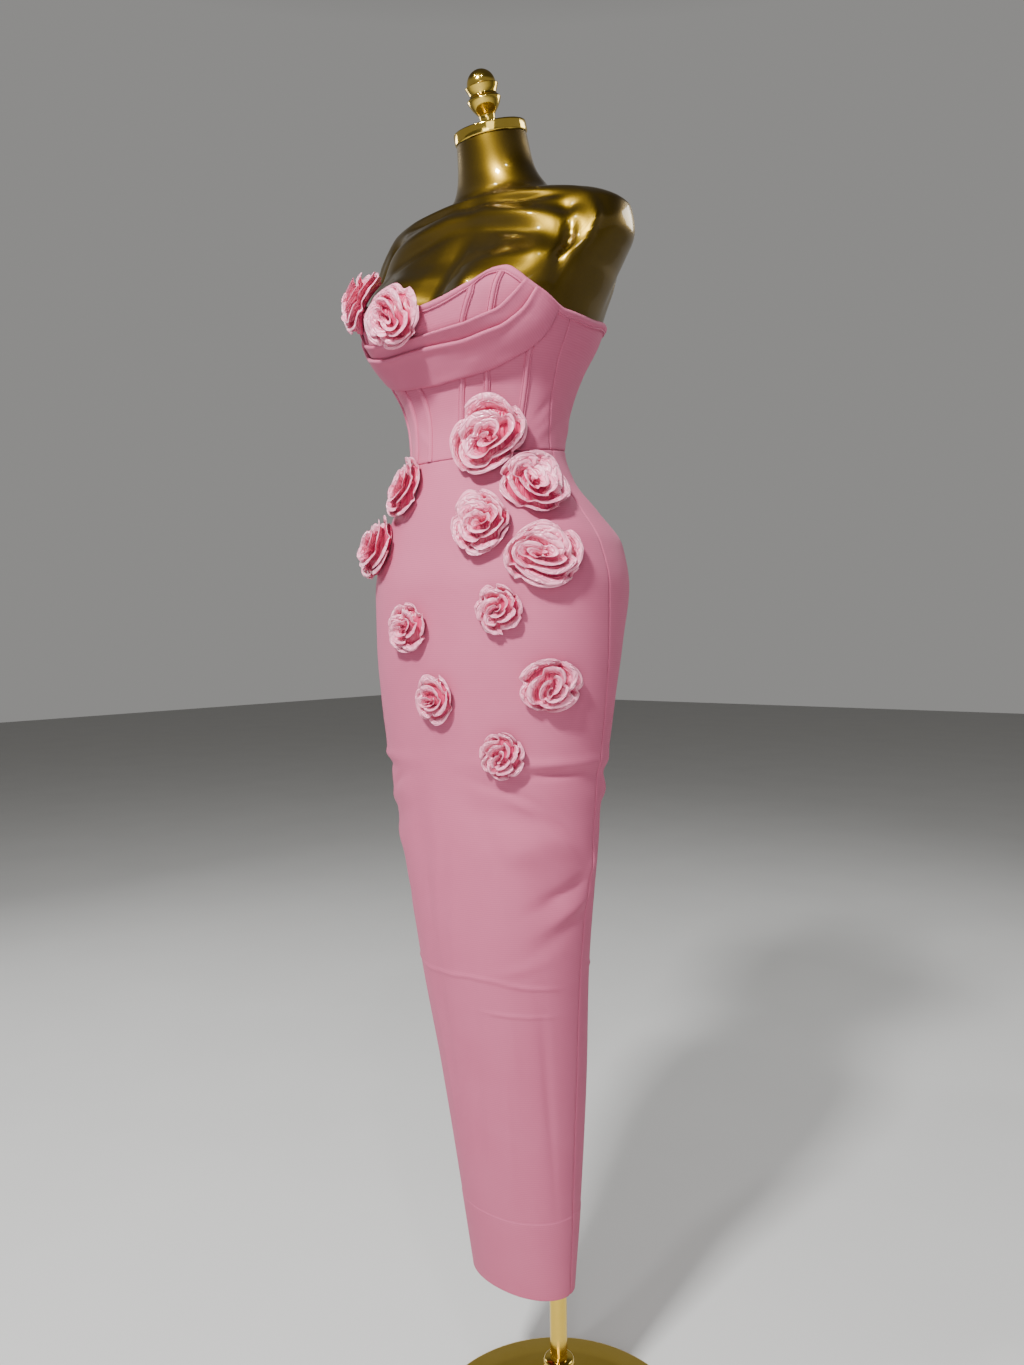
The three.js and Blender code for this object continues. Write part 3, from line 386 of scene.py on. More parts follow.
# A turned piece: the profile is swept round the Z axis
turning, given = new_tree(
    "turned_piece", {"Profile": "Geometry", "Sides": "Int", "Finish": "Material"}, "Turned"
)
outline = add_node(turning, "GeometryNodeMeshToCurve", {}, {"Mesh": given["Profile"]})
circle = add_node(
    turning, "GeometryNodeCurvePrimitiveCircle", {}, {"Resolution": given["Sides"], "Radius": 1e-6}
)
swept = add_node(
    turning, "GeometryNodeCurveToMesh", {},
    {"Curve": circle.outputs["Curve"], "Profile Curve": outline.outputs["Curve"]},
)
joined = add_node(
    turning, "GeometryNodeMergeByDistance", {}, {"Geometry": swept.outputs["Mesh"], "Distance": 1e-5}
)
end_tree(turning, joined.outputs["Geometry"], given["Finish"])


def plain_mesh(source, tree_group, values, name, sharp_over=35):
    """Runs a node tree on an object and keeps its result as a plain mesh piece."""
    modifier = source.modifiers.new(tree_group.name, "NODES")
    modifier.node_group = tree_group
    for label, value in values.items():
        modifier[tree_group.interface.items_tree[label].identifier] = value
    evaluated = source.evaluated_get(bpy.context.evaluated_depsgraph_get())
    mesh = bpy.data.meshes.new_from_object(evaluated)
    source.modifiers.clear()
    made = bpy.data.objects.new(name, mesh)
    mesh.name = name
    mesh.polygons.foreach_set("use_smooth", np.ones(len(mesh.polygons), bool))
    mesh.set_sharp_from_angle(angle=math.radians(sharp_over))
    bpy.context.scene.collection.objects.link(made)
    bpy.data.objects.remove(source)
    return made


def line_object(name, lines):
    """A mesh of open lines of points in millimetres, for a node tree to follow."""
    points, edges = [], []
    for line in lines:
        edges += [(len(points) + k, len(points) + k + 1) for k in range(len(line) - 1)]
        points += (np.asarray(line) / 1000).tolist()
    mesh = bpy.data.meshes.new(name)
    mesh.from_pydata(points, edges, [])
    made = bpy.data.objects.new(name, mesh)
    bpy.context.scene.collection.objects.link(made)
    return made


def turned_piece(name, profile, sides, place_matrix):
    """A piece turned from [radius, height] in millimetres, from its foot to its top."""
    drawn = [(radius, -height, 0) for radius, height in reversed(profile)]
    source = line_object(name + "_profile", [drawn])
    made = plain_mesh(source, turning, {"Sides": sides, "Finish": gold_plate}, name)
    made.data.transform(place_matrix)
    return made


neck_top = section_at(np.array(FORM_TOP))
neck_centre = Matrix.Translation((0, (neck_top[2] - neck_top[1]) / 2000, FORM_TOP / 1000))
neck_frame = neck_centre @ Matrix.Rotation(math.radians(NECK_TILT), 4, "X")
CAP_LIFT = 0.3
cap_frame = neck_frame @ Matrix.Translation((0, 0, CAP_LIFT / 1000))
cap = turned_piece("neck_cap_polished", CAP_PROFILE, TURNED_SIDES, cap_frame)
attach(cap, BODY)
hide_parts("neck_cap")

ball = [
    [BALL_RADIUS * math.cos(a), BALL_CENTRE + BALL_RADIUS * math.sin(a)]
    for a in np.radians(np.linspace(0, 90, BALL_STEPS))
]
ball[-1][0] = 0
FINIAL_LIFT = CAP_HEIGHT + 2 * CAP_LIFT
finial_frame = neck_frame @ Matrix.Translation((0, 0, FINIAL_LIFT / 1000))
knob = turned_piece("finial_turned", FINIAL_PROFILE + ball, FINIAL_SIDES, finial_frame)
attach(knob, BODY)
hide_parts("finial")

# The pole and the base
# A polished tube with a flange under the form, held in the collar of a round spun base.
POLE_PLACE = Matrix.Translation((0.070, 0.015, 0))
POLE_RADIUS = 10.5
POLE_PROFILE = [
    [0, 97.3], [9.9, 97.3], [POLE_RADIUS, 97.9], [POLE_RADIUS, 825.5], [11, 825.7], [18.2, 825.8],
    [19, 826.6], [19, 837], [18.4, 837.6], [0, 837.7],
]
BASE_PROFILE = [
    [0, 0], [163.5, 0], [164.6, 0.5], [165, 1.6], [165, 4.6], [164.5, 6], [163, 7.2], [160, 8], [130, 9],
    [100, 10], [70, 11], [48, 12.4], [34, 13.8], [26, 15.4], [22.4, 17.4], [20.4, 20], [19.2, 23.6],
    [18.6, 28], [18.5, 34], [18.5, 88], [18.6, 89], [19.3, 89.6], [19.3, 91.6], [18.5, 92.2], [18.3, 95],
    [17.5, 96.4], [16.5, 97], [0, 97],
]
for name, node, profile in (
    ("pole_polished", "pole", POLE_PROFILE),
    ("base_spun", "stand_base", BASE_PROFILE),
):
    made = turned_piece(name, profile, TURNED_SIDES, POLE_PLACE)
    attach(made, BODY)
    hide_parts(node)

# The skirt
# A long pencil skirt of doubled bandage knit: a front and two backs, sewn at the sides and the
# centre back, with a deep turned-up hem. The form's lower edge presses out under the cloth.
CLOTH = 2
SEAM_GAP = 0.3
HEM_HEIGHT = 187
HEM_TURN = 100
HEM_STEP = 0.5
WAIST_FRONT, WAIST_BACK = 1181, 1201
SKIRT_GIRTH = 2.2  # millimetres round the skirt in one degree, for its folds
# Soft folds: angle, height, half length, half width, turn from level, depth
SKIRT_FOLDS = [
    [38, 781, 50, 17, -10, -3.2],
    [66, 752, 42, 16, -26, 2],
    [60, 694, 46, 17, -40, -3.6],
    [90, 716, 52, 16, -64, 2.4],
    [-16, 760, 100, 18, 86, -1.8],
    [6, 700, 120, 17, 84, 1.6],
    [-38, 768, 48, 18, 16, -2.6],
    [-64, 730, 50, 18, 36, 2.2],
    [-86, 690, 52, 18, 60, -2.8],
    [124, 760, 66, 18, -30, -2.8],
    [152, 700, 76, 18, -58, 2],
    [-130, 745, 64, 18, 26, -3],
    [-158, 680, 80, 18, 62, 2],
]
# The form's edge under the cloth: the ridge, the hollow below it, and the degrees of bare middle
EDGE_RISE, EDGE_WIDTH = 1.6, 8
EDGE_DROP, EDGE_BELOW, EDGE_DROP_WIDTH = -1.8, 20, 14
EDGE_FADE = 26
# Finer creases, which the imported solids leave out: the same columns
SKIRT_CREASES = [
    [-29, 587, 26, 2.6, -3, 1.05],
    [-5, 589, 34, 2.4, 3, 1.16],
    [18, 590, 30, 2.6, -2, 1.05],
    [42, 583, 34, 2.6, -9, 1.26],
    [60, 579, 30, 2.4, -6, 1.05],
    [30, 549, 26, 2.2, -3, 0.95],
    [52, 546, 34, 2.4, -4, 1.05],
    [-50, 590, 30, 2.6, 4, 1.05],
    [-78, 596, 34, 2.6, 6, 1.05],
    [118, 590, 40, 2.6, -4, 1.05],
    [154, 584, 36, 2.6, 3, 1.05],
    [-120, 588, 40, 2.6, 5, 1.05],
    [-152, 594, 36, 2.6, -3, 1.05],
    [-14, 668, 88, 6, 88, -0.7],
    [2, 640, 96, 7, 84, 0.7],
    [12, 560, 84, 6, 92, -0.6],
    [-24, 470, 90, 8, 87, 0.6],
    [26, 420, 96, 8, 86, 0.6],
    [64, 380, 80, 8, 95, -0.6],
    [60, 826, 38, 5.5, 1, -4.6],
    [58, 838, 42, 4, 0, 1.6],
    [34, 806, 34, 6, -20, -3.0],
    [46, 790, 40, 6, -27, 3.6],
    [62, 770, 40, 6, -34, -3.6],
    [72, 742, 34, 9, -44, 1.8],
    [26, 752, 46, 9, -62, -1.4],
    [-60, 826, 38, 5.5, -1, -4.2],
    [-60, 838, 42, 4, 0, 1.4],
    [-40, 802, 34, 6, 24, -2.8],
    [-54, 784, 38, 6, 32, 3.0],
    [128, 825, 46, 6, 2, -4.0],
    [-132, 825, 46, 6, -2, -4.0],
    [116, 796, 42, 6, -30, 3.2],
    [134, 772, 40, 6, -38, -3.0],
    [-118, 794, 42, 6, 28, 3.2],
    [-138, 770, 38, 6, 36, -2.6],
    [158, 1052, 46, 7, 14, -1.6],
    [-156, 1046, 44, 7, -16, -1.6],
    [150, 1196, 40, 5, 8, -1.2],
    [-148, 1194, 40, 5, -8, -1.2],
    [-20, 560, 70, 9, 87, -0.9],
    [36, 500, 90, 10, 92, 0.9],
    [71, 688, 44, 9, 21, -4.2],
    [74, 664, 38, 9, 22, 3.4],
    [46, 742, 44, 17, 8, 2.8],
    [92, 716, 26, 9, 60, 2.6],
    [66, 636, 40, 12, 24, -1.8],
    [46, 604, 40, 7, 12, 1.2],
    [-6, 700, 100, 8, 84, 1.3],
    [-13, 560, 110, 7, 85, -1.2],
    [4, 420, 90, 9, 82, -1.4],
    [28, 396, 80, 11, 88, 1.4],
    [60, 470, 90, 10, 94, -1.4],
    [-70, 690, 44, 9, -22, -3.4],
    [-76, 664, 38, 9, -20, 2.8],
    [-52, 736, 40, 15, -10, 2.2],
    [138, 690, 44, 10, -24, 2.2],
    [-140, 684, 44, 10, 26, 2.2],
    [-160, 480, 90, 10, 88, -1.3],
    [150, 440, 90, 10, 92, -1.3],
]


def edge_press(angle, height):
    """How the form's lower edge stands out under the cloth, and the hollow just below it."""
    beside = 1 - bell(wrap_angle(angle), EDGE_FADE)
    return beside * (
        EDGE_RISE * bell(height - FORM_BOTTOM, EDGE_WIDTH)
        + EDGE_DROP * bell(height - FORM_BOTTOM + EDGE_BELOW, EDGE_DROP_WIDTH)
    )


def cloth_face(angle, height):
    """The outside of the cloth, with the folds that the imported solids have."""
    rise = edge_press(angle, height) + relief(SKIRT_FOLDS, angle, height, SKIRT_GIRTH)
    rise = rise + np.where(height < HEM_HEIGHT + HEM_TURN + 0.01, HEM_STEP, 0)
    return cloth_figure(angle, height) + outward(cloth_figure, angle, height) * np.asarray(rise)[..., None]


def cloth_point(angle, height, out):
    out = np.asarray(out, float)[..., None]
    return cloth_face(angle, height) + outward(cloth_face, angle, height) * out


def girth_at(angle, height):
    """Millimetres of cloth in one degree at a height."""
    return np.linalg.norm(cloth_face(angle + 0.5, height) - cloth_face(angle - 0.5, height), axis=-1)


def waist_height(angle):
    return mix(WAIST_FRONT, WAIST_BACK, (1 - np.cos(np.radians(angle))) / 2)


def stops_between(length, step, fine=(0.35, 0.8, 1.5, 2.6, 4.2)):
    """Shares from 0 to 1 along a length in millimetres, close together by both ends."""
    middle = np.linspace(fine[-1], length - fine[-1], max(2, round((length - 2 * fine[-1]) / step) + 1))
    ends = np.array(fine[:-1])
    return np.concatenate([[0], ends, middle, length - ends[::-1], [length]]) / length


def turned_in(distance, width, depth):
    """How far a rounded edge falls back at a distance from it."""
    t = 1 - np.clip(distance / width, 0, 1)
    return depth * (1 - np.sqrt(np.maximum(1 - t * t, 0)))


def cloth_wall(name, outer, out, thickness, material, edges):
    """A closed shell of cloth behind a grid of outside points (rows up, columns round).

    edges gives the width and depth of the rounded left, right, low and high edges."""
    rows, columns = outer.shape[:2]
    run = np.linalg.norm(np.diff(outer, axis=1), axis=-1)
    across = np.concatenate([np.zeros((rows, 1)), np.cumsum(run, axis=1)], axis=1)
    climb = np.linalg.norm(np.diff(outer, axis=0), axis=-1)
    upwards = np.concatenate([np.zeros((1, columns)), np.cumsum(climb, axis=0)], axis=0)
    distances = (across, across[:, -1:] - across, upwards, upwards[-1:] - upwards)
    fall = sum(turned_in(d, width, depth) for d, (width, depth) in zip(distances, edges))
    outside = outer - out * fall[..., None]
    inside = outer - out * np.maximum(thickness, fall + 0.3)[..., None]
    points = np.concatenate([outside.reshape(-1, 3), inside.reshape(-1, 3)])
    size = rows * columns
    faces = grid_faces(rows, columns) + grid_faces(rows, columns, start=size, flip=True)
    rim = (
        [(0, k) for k in range(columns)]
        + [(k, columns - 1) for k in range(1, rows)]
        + [(rows - 1, k) for k in range(columns - 2, -1, -1)]
        + [(k, 0) for k in range(rows - 2, 0, -1)]
    )
    loop = [i * columns + j for i, j in rim]
    faces += [[b, a, a + size, b + size] for a, b in zip(loop, loop[1:] + loop[:1])]
    width = across + (across[:, -1:].max() - across[:, -1:]) / 2
    uv = np.stack([width, outer[..., 2]], axis=-1).reshape(-1, 2) / 1000
    return piece_from(name, points, faces, np.concatenate([uv, uv]), material, 60)


def cut_of(outer):
    """Width, length and area in metres of the flat cut that makes a grid of cloth."""
    width = np.linalg.norm(np.diff(outer, axis=1), axis=-1).sum(axis=1).max()
    length = np.linalg.norm(np.diff(outer, axis=0), axis=-1).sum(axis=0).max()
    first = np.cross(outer[1:, 1:] - outer[:-1, :-1], outer[1:, :-1] - outer[:-1, 1:])
    area = np.linalg.norm(first, axis=-1).sum() / 2
    return (width / 1000, length / 1000), min(area, width * length) / 1e6


# Bandage knit: a dense rayon and elastane double knit, matt, with a faint bloom and fine level
# ribs where its bands run round the body
RIB_MM = 2.4  # real ribs are about 1 mm apart, and are drawn this coarse so that they show
STITCH_MM = 1.1


def wave_scale(spacing):
    """The scale of a wave texture on a map in metres, from the millimetres between its bands."""
    return math.pi / 10 / (spacing / 1000)


def knit_cloth(name, base, shade, roughness, rib_height):
    """Bandage knit of a colour, on the piece's own weave map in metres."""
    made, tree, shader = new_material(
        name,
        {
            "Roughness": roughness,
            "Specular IOR Level": 0.25,
            "Sheen Weight": 0.06,
            "Sheen Roughness": 0.4,
            "Sheen Tint": srgb("#FFC4D6"),
        },
    )
    weave = add_node(tree, "ShaderNodeUVMap", {"uv_map": "weave"})
    ribs = add_node(
        tree, "ShaderNodeTexWave", {"wave_type": "BANDS", "bands_direction": "Y", "wave_profile": "SIN"},
        {
            "Vector": weave.outputs["UV"], "Scale": wave_scale(RIB_MM), "Distortion": 0.6, "Detail": 1.0,
        },
    )
    loops = add_node(
        tree, "ShaderNodeTexNoise", {},
        {"Vector": weave.outputs["UV"], "Scale": 1000 / STITCH_MM, "Detail": 2.0},
    )
    blotch = add_node(
        tree, "ShaderNodeTexNoise", {}, {"Vector": weave.outputs["UV"], "Scale": 14.0, "Detail": 3.0}
    )
    raised = add_node(
        tree, "ShaderNodeMix", {"data_type": "FLOAT"},
        {0: 0.4, 2: ribs.outputs["Color"], 3: loops.outputs[0]},
    )
    bumps = add_node(
        tree, "ShaderNodeBump", {},
        {"Strength": rib_height, "Distance": 0.0003, "Height": raised.outputs[0]},
    )
    # The tone mixes blotches, which differ at random, with painted shade that darkens the hollows of the ribs
    tone = add_node(
        tree, "ShaderNodeMix", {"data_type": "FLOAT"},
        {0: 0.35, 2: blotch.outputs[0], 3: ribs.outputs["Color"]},
    )
    tint = add_node(tree, "ShaderNodeValToRGB", {}, {"Fac": tone.outputs[0]})
    for stop, position, code in zip(tint.color_ramp.elements, (0.25, 0.75), (shade, base)):
        stop.position, stop.color = position, srgb(code)
    tree.links.new(tint.outputs["Color"], shader.inputs["Base Color"])
    tree.links.new(bumps.outputs["Normal"], shader.inputs["Normal"])
    return made


bandage_knit = knit_cloth("bandage_knit_pink", "#BC617F", "#B55A78", 0.72, 0.26)

SKIRT_PANELS = [
    ("skirt_front", -90, 90, "skirt_front_cloth"),
    ("skirt_back_left", 90, 180, "skirt_back_left_cloth"),
    ("skirt_back_right", 180, 270, "skirt_back_right_cloth"),
]
HEM_TOP = HEM_HEIGHT + HEM_TURN
# Rows of the mesh, closest where the hem line and the creases need them
SKIRT_ROWS = ((HEM_TOP + 8, 535, 5), (535, 600, 1.9), (600, 800, 4), (800, 870, 3), (870, 1168, 5))
skirt_levels = np.concatenate([
    HEM_HEIGHT + np.array([0, 0.5, 1.2, 2.2, 4, 8]),
    np.arange(HEM_HEIGHT + 14, HEM_TOP - 3, 6),
    HEM_TOP + np.array([-2, -0.6, 0, 0.5, 1.2, 2.2, 4]),
    rows_between(SKIRT_ROWS),
])
PANEL_GIRTH, PANEL_STEP = 2.6, 4.0
# Width and depth of a panel's rounded edges: left, right, low and high
PANEL_EDGES = [(2.4, 1.5), (2.4, 1.5), (1.6, 1.2), (2.6, 1.5)]
top_shares = np.concatenate([np.linspace(0, 0.8, 6)[1:], [0.88, 0.93, 0.965, 0.985, 1]])
for node, start, end, name in SKIRT_PANELS:
    columns = stops_between((end - start) * PANEL_GIRTH, PANEL_STEP)
    levels = np.repeat(skirt_levels[:, None], len(columns), axis=1)
    angles = mix(start, end, columns)[None, :]
    brim = waist_height(angles) - SEAM_GAP / 2
    tops = levels[-1:] + (brim - levels[-1:]) * top_shares[:, None]
    levels = np.concatenate([levels, tops])
    first = start + SEAM_GAP / 2 / girth_at(start, levels[:, :1])
    last = end - SEAM_GAP / 2 / girth_at(end, levels[:, -1:])
    angles = first + (last - first) * columns[None, :]
    creases = relief(SKIRT_CREASES, angles, levels, SKIRT_GIRTH)
    step = HEM_STEP * (1 - smoothstep(levels, HEM_TOP - 0.3, HEM_TOP + 1.2))
    flat_step = np.where(levels < HEM_TOP + 0.01, HEM_STEP, 0)
    outer = cloth_point(angles, levels, creases + step - flat_step)
    out = outward(cloth_figure, angles, levels)
    thickness = np.where(levels < HEM_TOP, CLOTH + 2 * HEM_STEP, CLOTH)
    made = cloth_wall(name, outer, out, thickness, bandage_knit, PANEL_EDGES)
    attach(made, BODY)
    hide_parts(node)
    flat, area = cut_of(outer)

# The bodice
# Seven panels of the same knit, cut to the figure and sewn edge to edge: a centre front, a
# middle and a side front on each hand, and two backs.
# The top edge: angle from the centre front, height
NECKLINE = [
    [0, 1341], [12, 1344], [26, 1354], [33, 1369], [37, 1371], [44, 1365], [52, 1356],
    [66, 1344], [83, 1332], [98, 1332], [115, 1337], [150, 1342], [180, 1343],
]
# Sewn lines: height, angle from the centre front
PRINCESS_LINE = [[1180, 11.5], [1215, 12.5], [1255, 14], [1290, 18.5], [1315, 22.8], [1350, 27]]
CUP_LINE = [[1180, 30], [1225, 31], [1268, 32], [1300, 35.5], [1325, 37], [1370, 37]]
SIDE_FRONT_LINE = [[1180, 56], [1237, 58.2], [1290, 61], [1340, 66]]
SIDE_LINE = [[1180, 88], [1250, 85], [1330, 87]]
BACK_LINE = [[1180, 180], [1350, 180]]
BAND_WIDTH, BAND_CLEAR = 8, 0.4
# Soft creases over the ribs and at the waist: angle, height, half length, half width, turn, depth
BODICE_CREASES = [
    [66, 1214, 26, 7, 38, 1.2],
    [74, 1228, 28, 6, 42, -1.4],
    [82, 1212, 24, 6, 30, 1.1],
    [96, 1222, 34, 8, 24, -1.2],
    [44, 1212, 22, 7, -30, -0.9],
    [22, 1206, 22, 6, 40, 0.8],
    [2, 1212, 26, 8, 84, -0.7],
    [-20, 1210, 22, 6, -36, 0.8],
    [-46, 1212, 24, 7, 30, -1.0],
    [-68, 1216, 26, 7, -40, 1.2],
    [-82, 1226, 26, 6, -32, -1.2],
    [130, 1218, 44, 9, -14, 1.1],
    [156, 1230, 40, 9, 12, -1.0],
    [-118, 1220, 44, 9, 16, 1.1],
    [-150, 1232, 40, 9, -12, -1.0],
]
BODICE_GIRTH = 1.9  # millimetres round the bodice in one degree, for its creases and columns
BODICE_STEP, BODICE_LENGTH, BODICE_MIDDLE = 2.6, 160, 1260.0
# Width and depth of a panel's rounded edges: left, right, low and high
BODICE_EDGES = [(2.2, 1.4), (2.2, 1.4), (2.6, 1.5), (1.5, 0.6)]
neckline_at = smooth_curve(NECKLINE)


def neck_height(angle):
    return neckline_at(np.abs(wrap_angle(angle)))[..., 0]


def line_angle(line, side, offset, height):
    """The angle of a sewn line at a height, moved round by an offset in millimetres."""
    angle = side * smooth_curve(line)(height)[..., 0]
    return angle + offset / girth_at(angle, height)


def bodice_height(share, angle):
    """A share of the way from the waist seam to the top edge."""
    low = waist_height(angle) + SEAM_GAP / 2
    return mix(low, neck_height(angle), share)


def on_bodice(angle_of, shares):
    """Angle and height where a line, given as the angle at a height, meets each share."""
    height = bodice_height(shares, 0.0)
    for _ in range(9):
        angle = angle_of(height)
        height = bodice_height(shares, angle)
    return angle, height


def bodice_point(angle, height, out):
    """A point above the cloth of the bodice, its soft creases included."""
    return cloth_point(angle, height, relief(BODICE_CREASES, angle, height, BODICE_GIRTH) + out)


SEWN = SEAM_GAP / 2
BODICE_PANELS = [
    ("bodice_back_right", (BACK_LINE, -1, SEWN), (SIDE_LINE, -1, -SEWN)),
    ("bodice_front_side_right", (SIDE_LINE, -1, SEWN), (SIDE_FRONT_LINE, -1, -SEWN)),
    ("bodice_front_mid_right", (SIDE_FRONT_LINE, -1, SEWN), (PRINCESS_LINE, -1, -SEWN)),
    ("bodice_front_centre", (PRINCESS_LINE, -1, SEWN), (PRINCESS_LINE, 1, -SEWN)),
    ("bodice_front_mid_left", (PRINCESS_LINE, 1, SEWN), (SIDE_FRONT_LINE, 1, -SEWN)),
    ("bodice_front_side_left", (SIDE_FRONT_LINE, 1, SEWN), (SIDE_LINE, 1, -SEWN)),
    ("bodice_back_left", (SIDE_LINE, 1, SEWN), (BACK_LINE, 1, -SEWN)),
]
for node, left, right in BODICE_PANELS:
    span = line_angle(*right, BODICE_MIDDLE) - line_angle(*left, BODICE_MIDDLE)
    columns = stops_between(float(span) * BODICE_GIRTH, BODICE_STEP)[None, :]
    shares = stops_between(BODICE_LENGTH, BODICE_STEP)[:, None] + 0 * columns

    def panel_angle(height):
        return mix(line_angle(*left, height), line_angle(*right, height), columns)

    angles, levels = on_bodice(panel_angle, shares)
    outer = bodice_point(angles, levels, 0)
    out = outward(cloth_figure, angles, levels)
    made = cloth_wall(node + "_cloth", outer, out, CLOTH, bandage_knit, BODICE_EDGES)
    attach(made, BODY)
    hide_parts(node)
    flat, area = cut_of(outer)

# The boning channels
# Flat tapes of the same knit sewn over six bodice lines, each with a row of stitches down both
# edges and a spiral bone inside that rounds its middle.
# Across a channel: offset from its line, height above the panel
CHANNEL_TOP = [
    [-4, 0.2], [-3.95, 1.1], [-3.6, 1.6], [-3.1, 1.6], [-2.6, 0.85], [-2.1, 1.6], [-1.1, 2.3], [0, 2.5],
    [1.1, 2.3], [2.1, 1.6], [2.6, 0.85], [3.1, 1.6], [3.6, 1.6], [3.95, 1.1], [4, 0.2],
]
STITCH_OFFSET, STITCH_RISE = 2.6, 0.95
STITCH_LENGTH, STITCH_PITCH, THREAD = 2.0, 2.9, 0.5


def tube_piece(name, rings, material):
    """A closed band from rings of points; each ring runs once round the band."""
    count, around = rings.shape[:2]
    run = np.concatenate([[0], np.cumsum(np.linalg.norm(np.diff(rings[:, 0], axis=0), axis=-1))])
    girth = np.concatenate([[0], np.cumsum(np.linalg.norm(np.diff(rings[count // 2], axis=0), axis=-1))])
    uv = np.stack(np.meshgrid(girth, run), axis=-1).reshape(-1, 2) / 1000
    faces = grid_faces(count, around, wrap=True)
    ends = [list(range(around))[::-1], [(count - 1) * around + k for k in range(around)]]
    return piece_from(name, rings.reshape(-1, 3), faces + ends, uv, material, 55)



def row_tree(name, shape, shape_inputs, result):
    """A tree that lays a small shape along lines at a pitch, its Z axis along the line."""
    tree, given = new_tree(
        name, {"Lines": "Geometry", "Pitch": "Float", "Size": "Vector", "Finish": "Material"}, result
    )
    path = add_node(tree, "GeometryNodeMeshToCurve", {}, {"Mesh": given["Lines"]})
    spaced = add_node(
        tree, "GeometryNodeResampleCurve", {"mode": "LENGTH"},
        {"Curve": path.outputs["Curve"], "Length": given["Pitch"]},
    )
    heading = add_node(tree, "GeometryNodeInputTangent")
    turn = add_node(
        tree, "FunctionNodeAlignRotationToVector", {"axis": "Z"}, {"Vector": heading.outputs["Tangent"]}
    )
    small = add_node(tree, shape, {}, shape_inputs)
    laid = add_node(
        tree, "GeometryNodeInstanceOnPoints", {},
        {
            "Points": spaced.outputs["Curve"], "Instance": small.outputs["Mesh"],
            "Rotation": turn.outputs["Rotation"], "Scale": given["Size"],
        },
    )
    end_tree(tree, laid.outputs["Instances"], given["Finish"])
    return tree


# Polyester sewing thread of the cloth's colour: a row of short stitches laid along a line
stitching = row_tree(
    "sewn_stitches", "GeometryNodeMeshUVSphere", {"Segments": 6, "Rings": 6, "Radius": 0.5}, "Stitches"
)
sewing_thread, tree, shader = new_material(
    "polyester_sewing_thread", {"Roughness": 0.45, "Specular IOR Level": 0.5, "Sheen Weight": 0.2}
)
place = add_node(tree, "ShaderNodeTexCoord")
twist = add_node(
    tree, "ShaderNodeTexNoise", {}, {"Vector": place.outputs["Object"], "Scale": 900.0, "Detail": 1.0}
)
tint = add_node(tree, "ShaderNodeValToRGB", {}, {"Fac": twist.outputs[0]})
tint.color_ramp.elements[0].color = srgb("#B9597B")
tint.color_ramp.elements[1].color = srgb("#CC7090")
tree.links.new(tint.outputs["Color"], shader.inputs["Base Color"])


def stitch_lines(name, lines):
    """A row of stitches along each line, as one piece."""
    source = line_object(name + "_lines", lines)
    size = (THREAD / 1000, THREAD / 1000, STITCH_LENGTH / 1000)
    values = {"Pitch": STITCH_PITCH / 1000, "Size": size, "Finish": sewing_thread}
    made = plain_mesh(source, stitching, values, name)
    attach(made, BODY)
    return made


CHANNEL_ROWS = 90
channel_shares = np.linspace(0, 1, CHANNEL_ROWS)[:, None]
channel_top = np.array(CHANNEL_TOP)
sewn_lines = []
for word, line in (("princess", PRINCESS_LINE), ("cup", CUP_LINE), ("side", SIDE_FRONT_LINE)):
    for hand, side in (("left", 1), ("right", -1)):
        def channel_point(offsets, rises):
            offsets = np.asarray(offsets, float)[None, :]
            angles, levels = on_bodice(
                lambda height: line_angle(line, side, offsets, height), channel_shares + 0 * offsets
            )
            top = neck_height(angles) - BAND_WIDTH - BAND_CLEAR
            low = waist_height(angles) + SEAM_GAP
            levels = np.clip(mix(low, top, channel_shares), low, top)
            return bodice_point(angles, levels, np.asarray(rises, float)[None, :] + 0 * angles)

        offsets = np.concatenate([channel_top[:, 0], channel_top[::-1, 0]])
        rises = np.concatenate([channel_top[:, 1], np.full(len(channel_top), 0.05)])
        rings = channel_point(offsets, rises)
        name = f"channel_{word}_{hand}"
        made = tube_piece(name + "_tape", rings, bandage_knit)
        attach(made, BODY)
        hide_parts(name)
        flat, area = cut_of(channel_point(channel_top[:, 0], channel_top[:, 1]))
        for offset in (-STITCH_OFFSET, STITCH_OFFSET):
            sewn_lines.append(channel_point([offset], [STITCH_RISE])[:, 0])
stitch_lines("channel_stitches", sewn_lines)

# The neckline band
# A narrow binding of the knit, folded over the top edge of the bodice and sewn through below. It
# is open at the centre back, where the zip ends, and puckers where it turns at the centre front.
# Across the band: how far below the edge, height above the panel
BAND_SECTION = [
    [8.2, 0.1], [8.2, 1.2], [7.8, 1.7], [7.2, 1.7], [6.6, 1.15], [6, 1.7], [4.6, 2.5], [3, 2.7], [1.6, 2.4],
    [0.5, 1.55], [-0.15, 0.7], [-0.35, -0.4], [-0.1, -1.5], [0.6, -2.3], [2, -2.7], [5, -2.8], [6.5, -2.6],
    [5, -2.2], [2.4, -1.9], [1, -1.2], [0.8, -0.3], [1.6, 0.05], [4, 0.1],
]
BAND_STITCH = [6.6, 1.2]
PUCKER_WIDTH = 2.6
BAND_END, BAND_STEP = 179.9, 0.9
band_angles = np.append(np.arange(-BAND_END, BAND_END, BAND_STEP), BAND_END)[:, None]


def band_point(section):
    section = np.atleast_2d(section)
    down, out = section[None, :, 0], section[None, :, 1]
    pinch = bell(band_angles, PUCKER_WIDTH)
    levels = neck_height(band_angles) - down * (1 - 0.25 * pinch)
    ripple = 0.25 * np.sin(band_angles * 1.9) * bell(np.abs(band_angles) - 6, 9)
    return bodice_point(band_angles + 0 * down, levels, out + (out > 0.5) * (ripple + 0.9 * pinch))


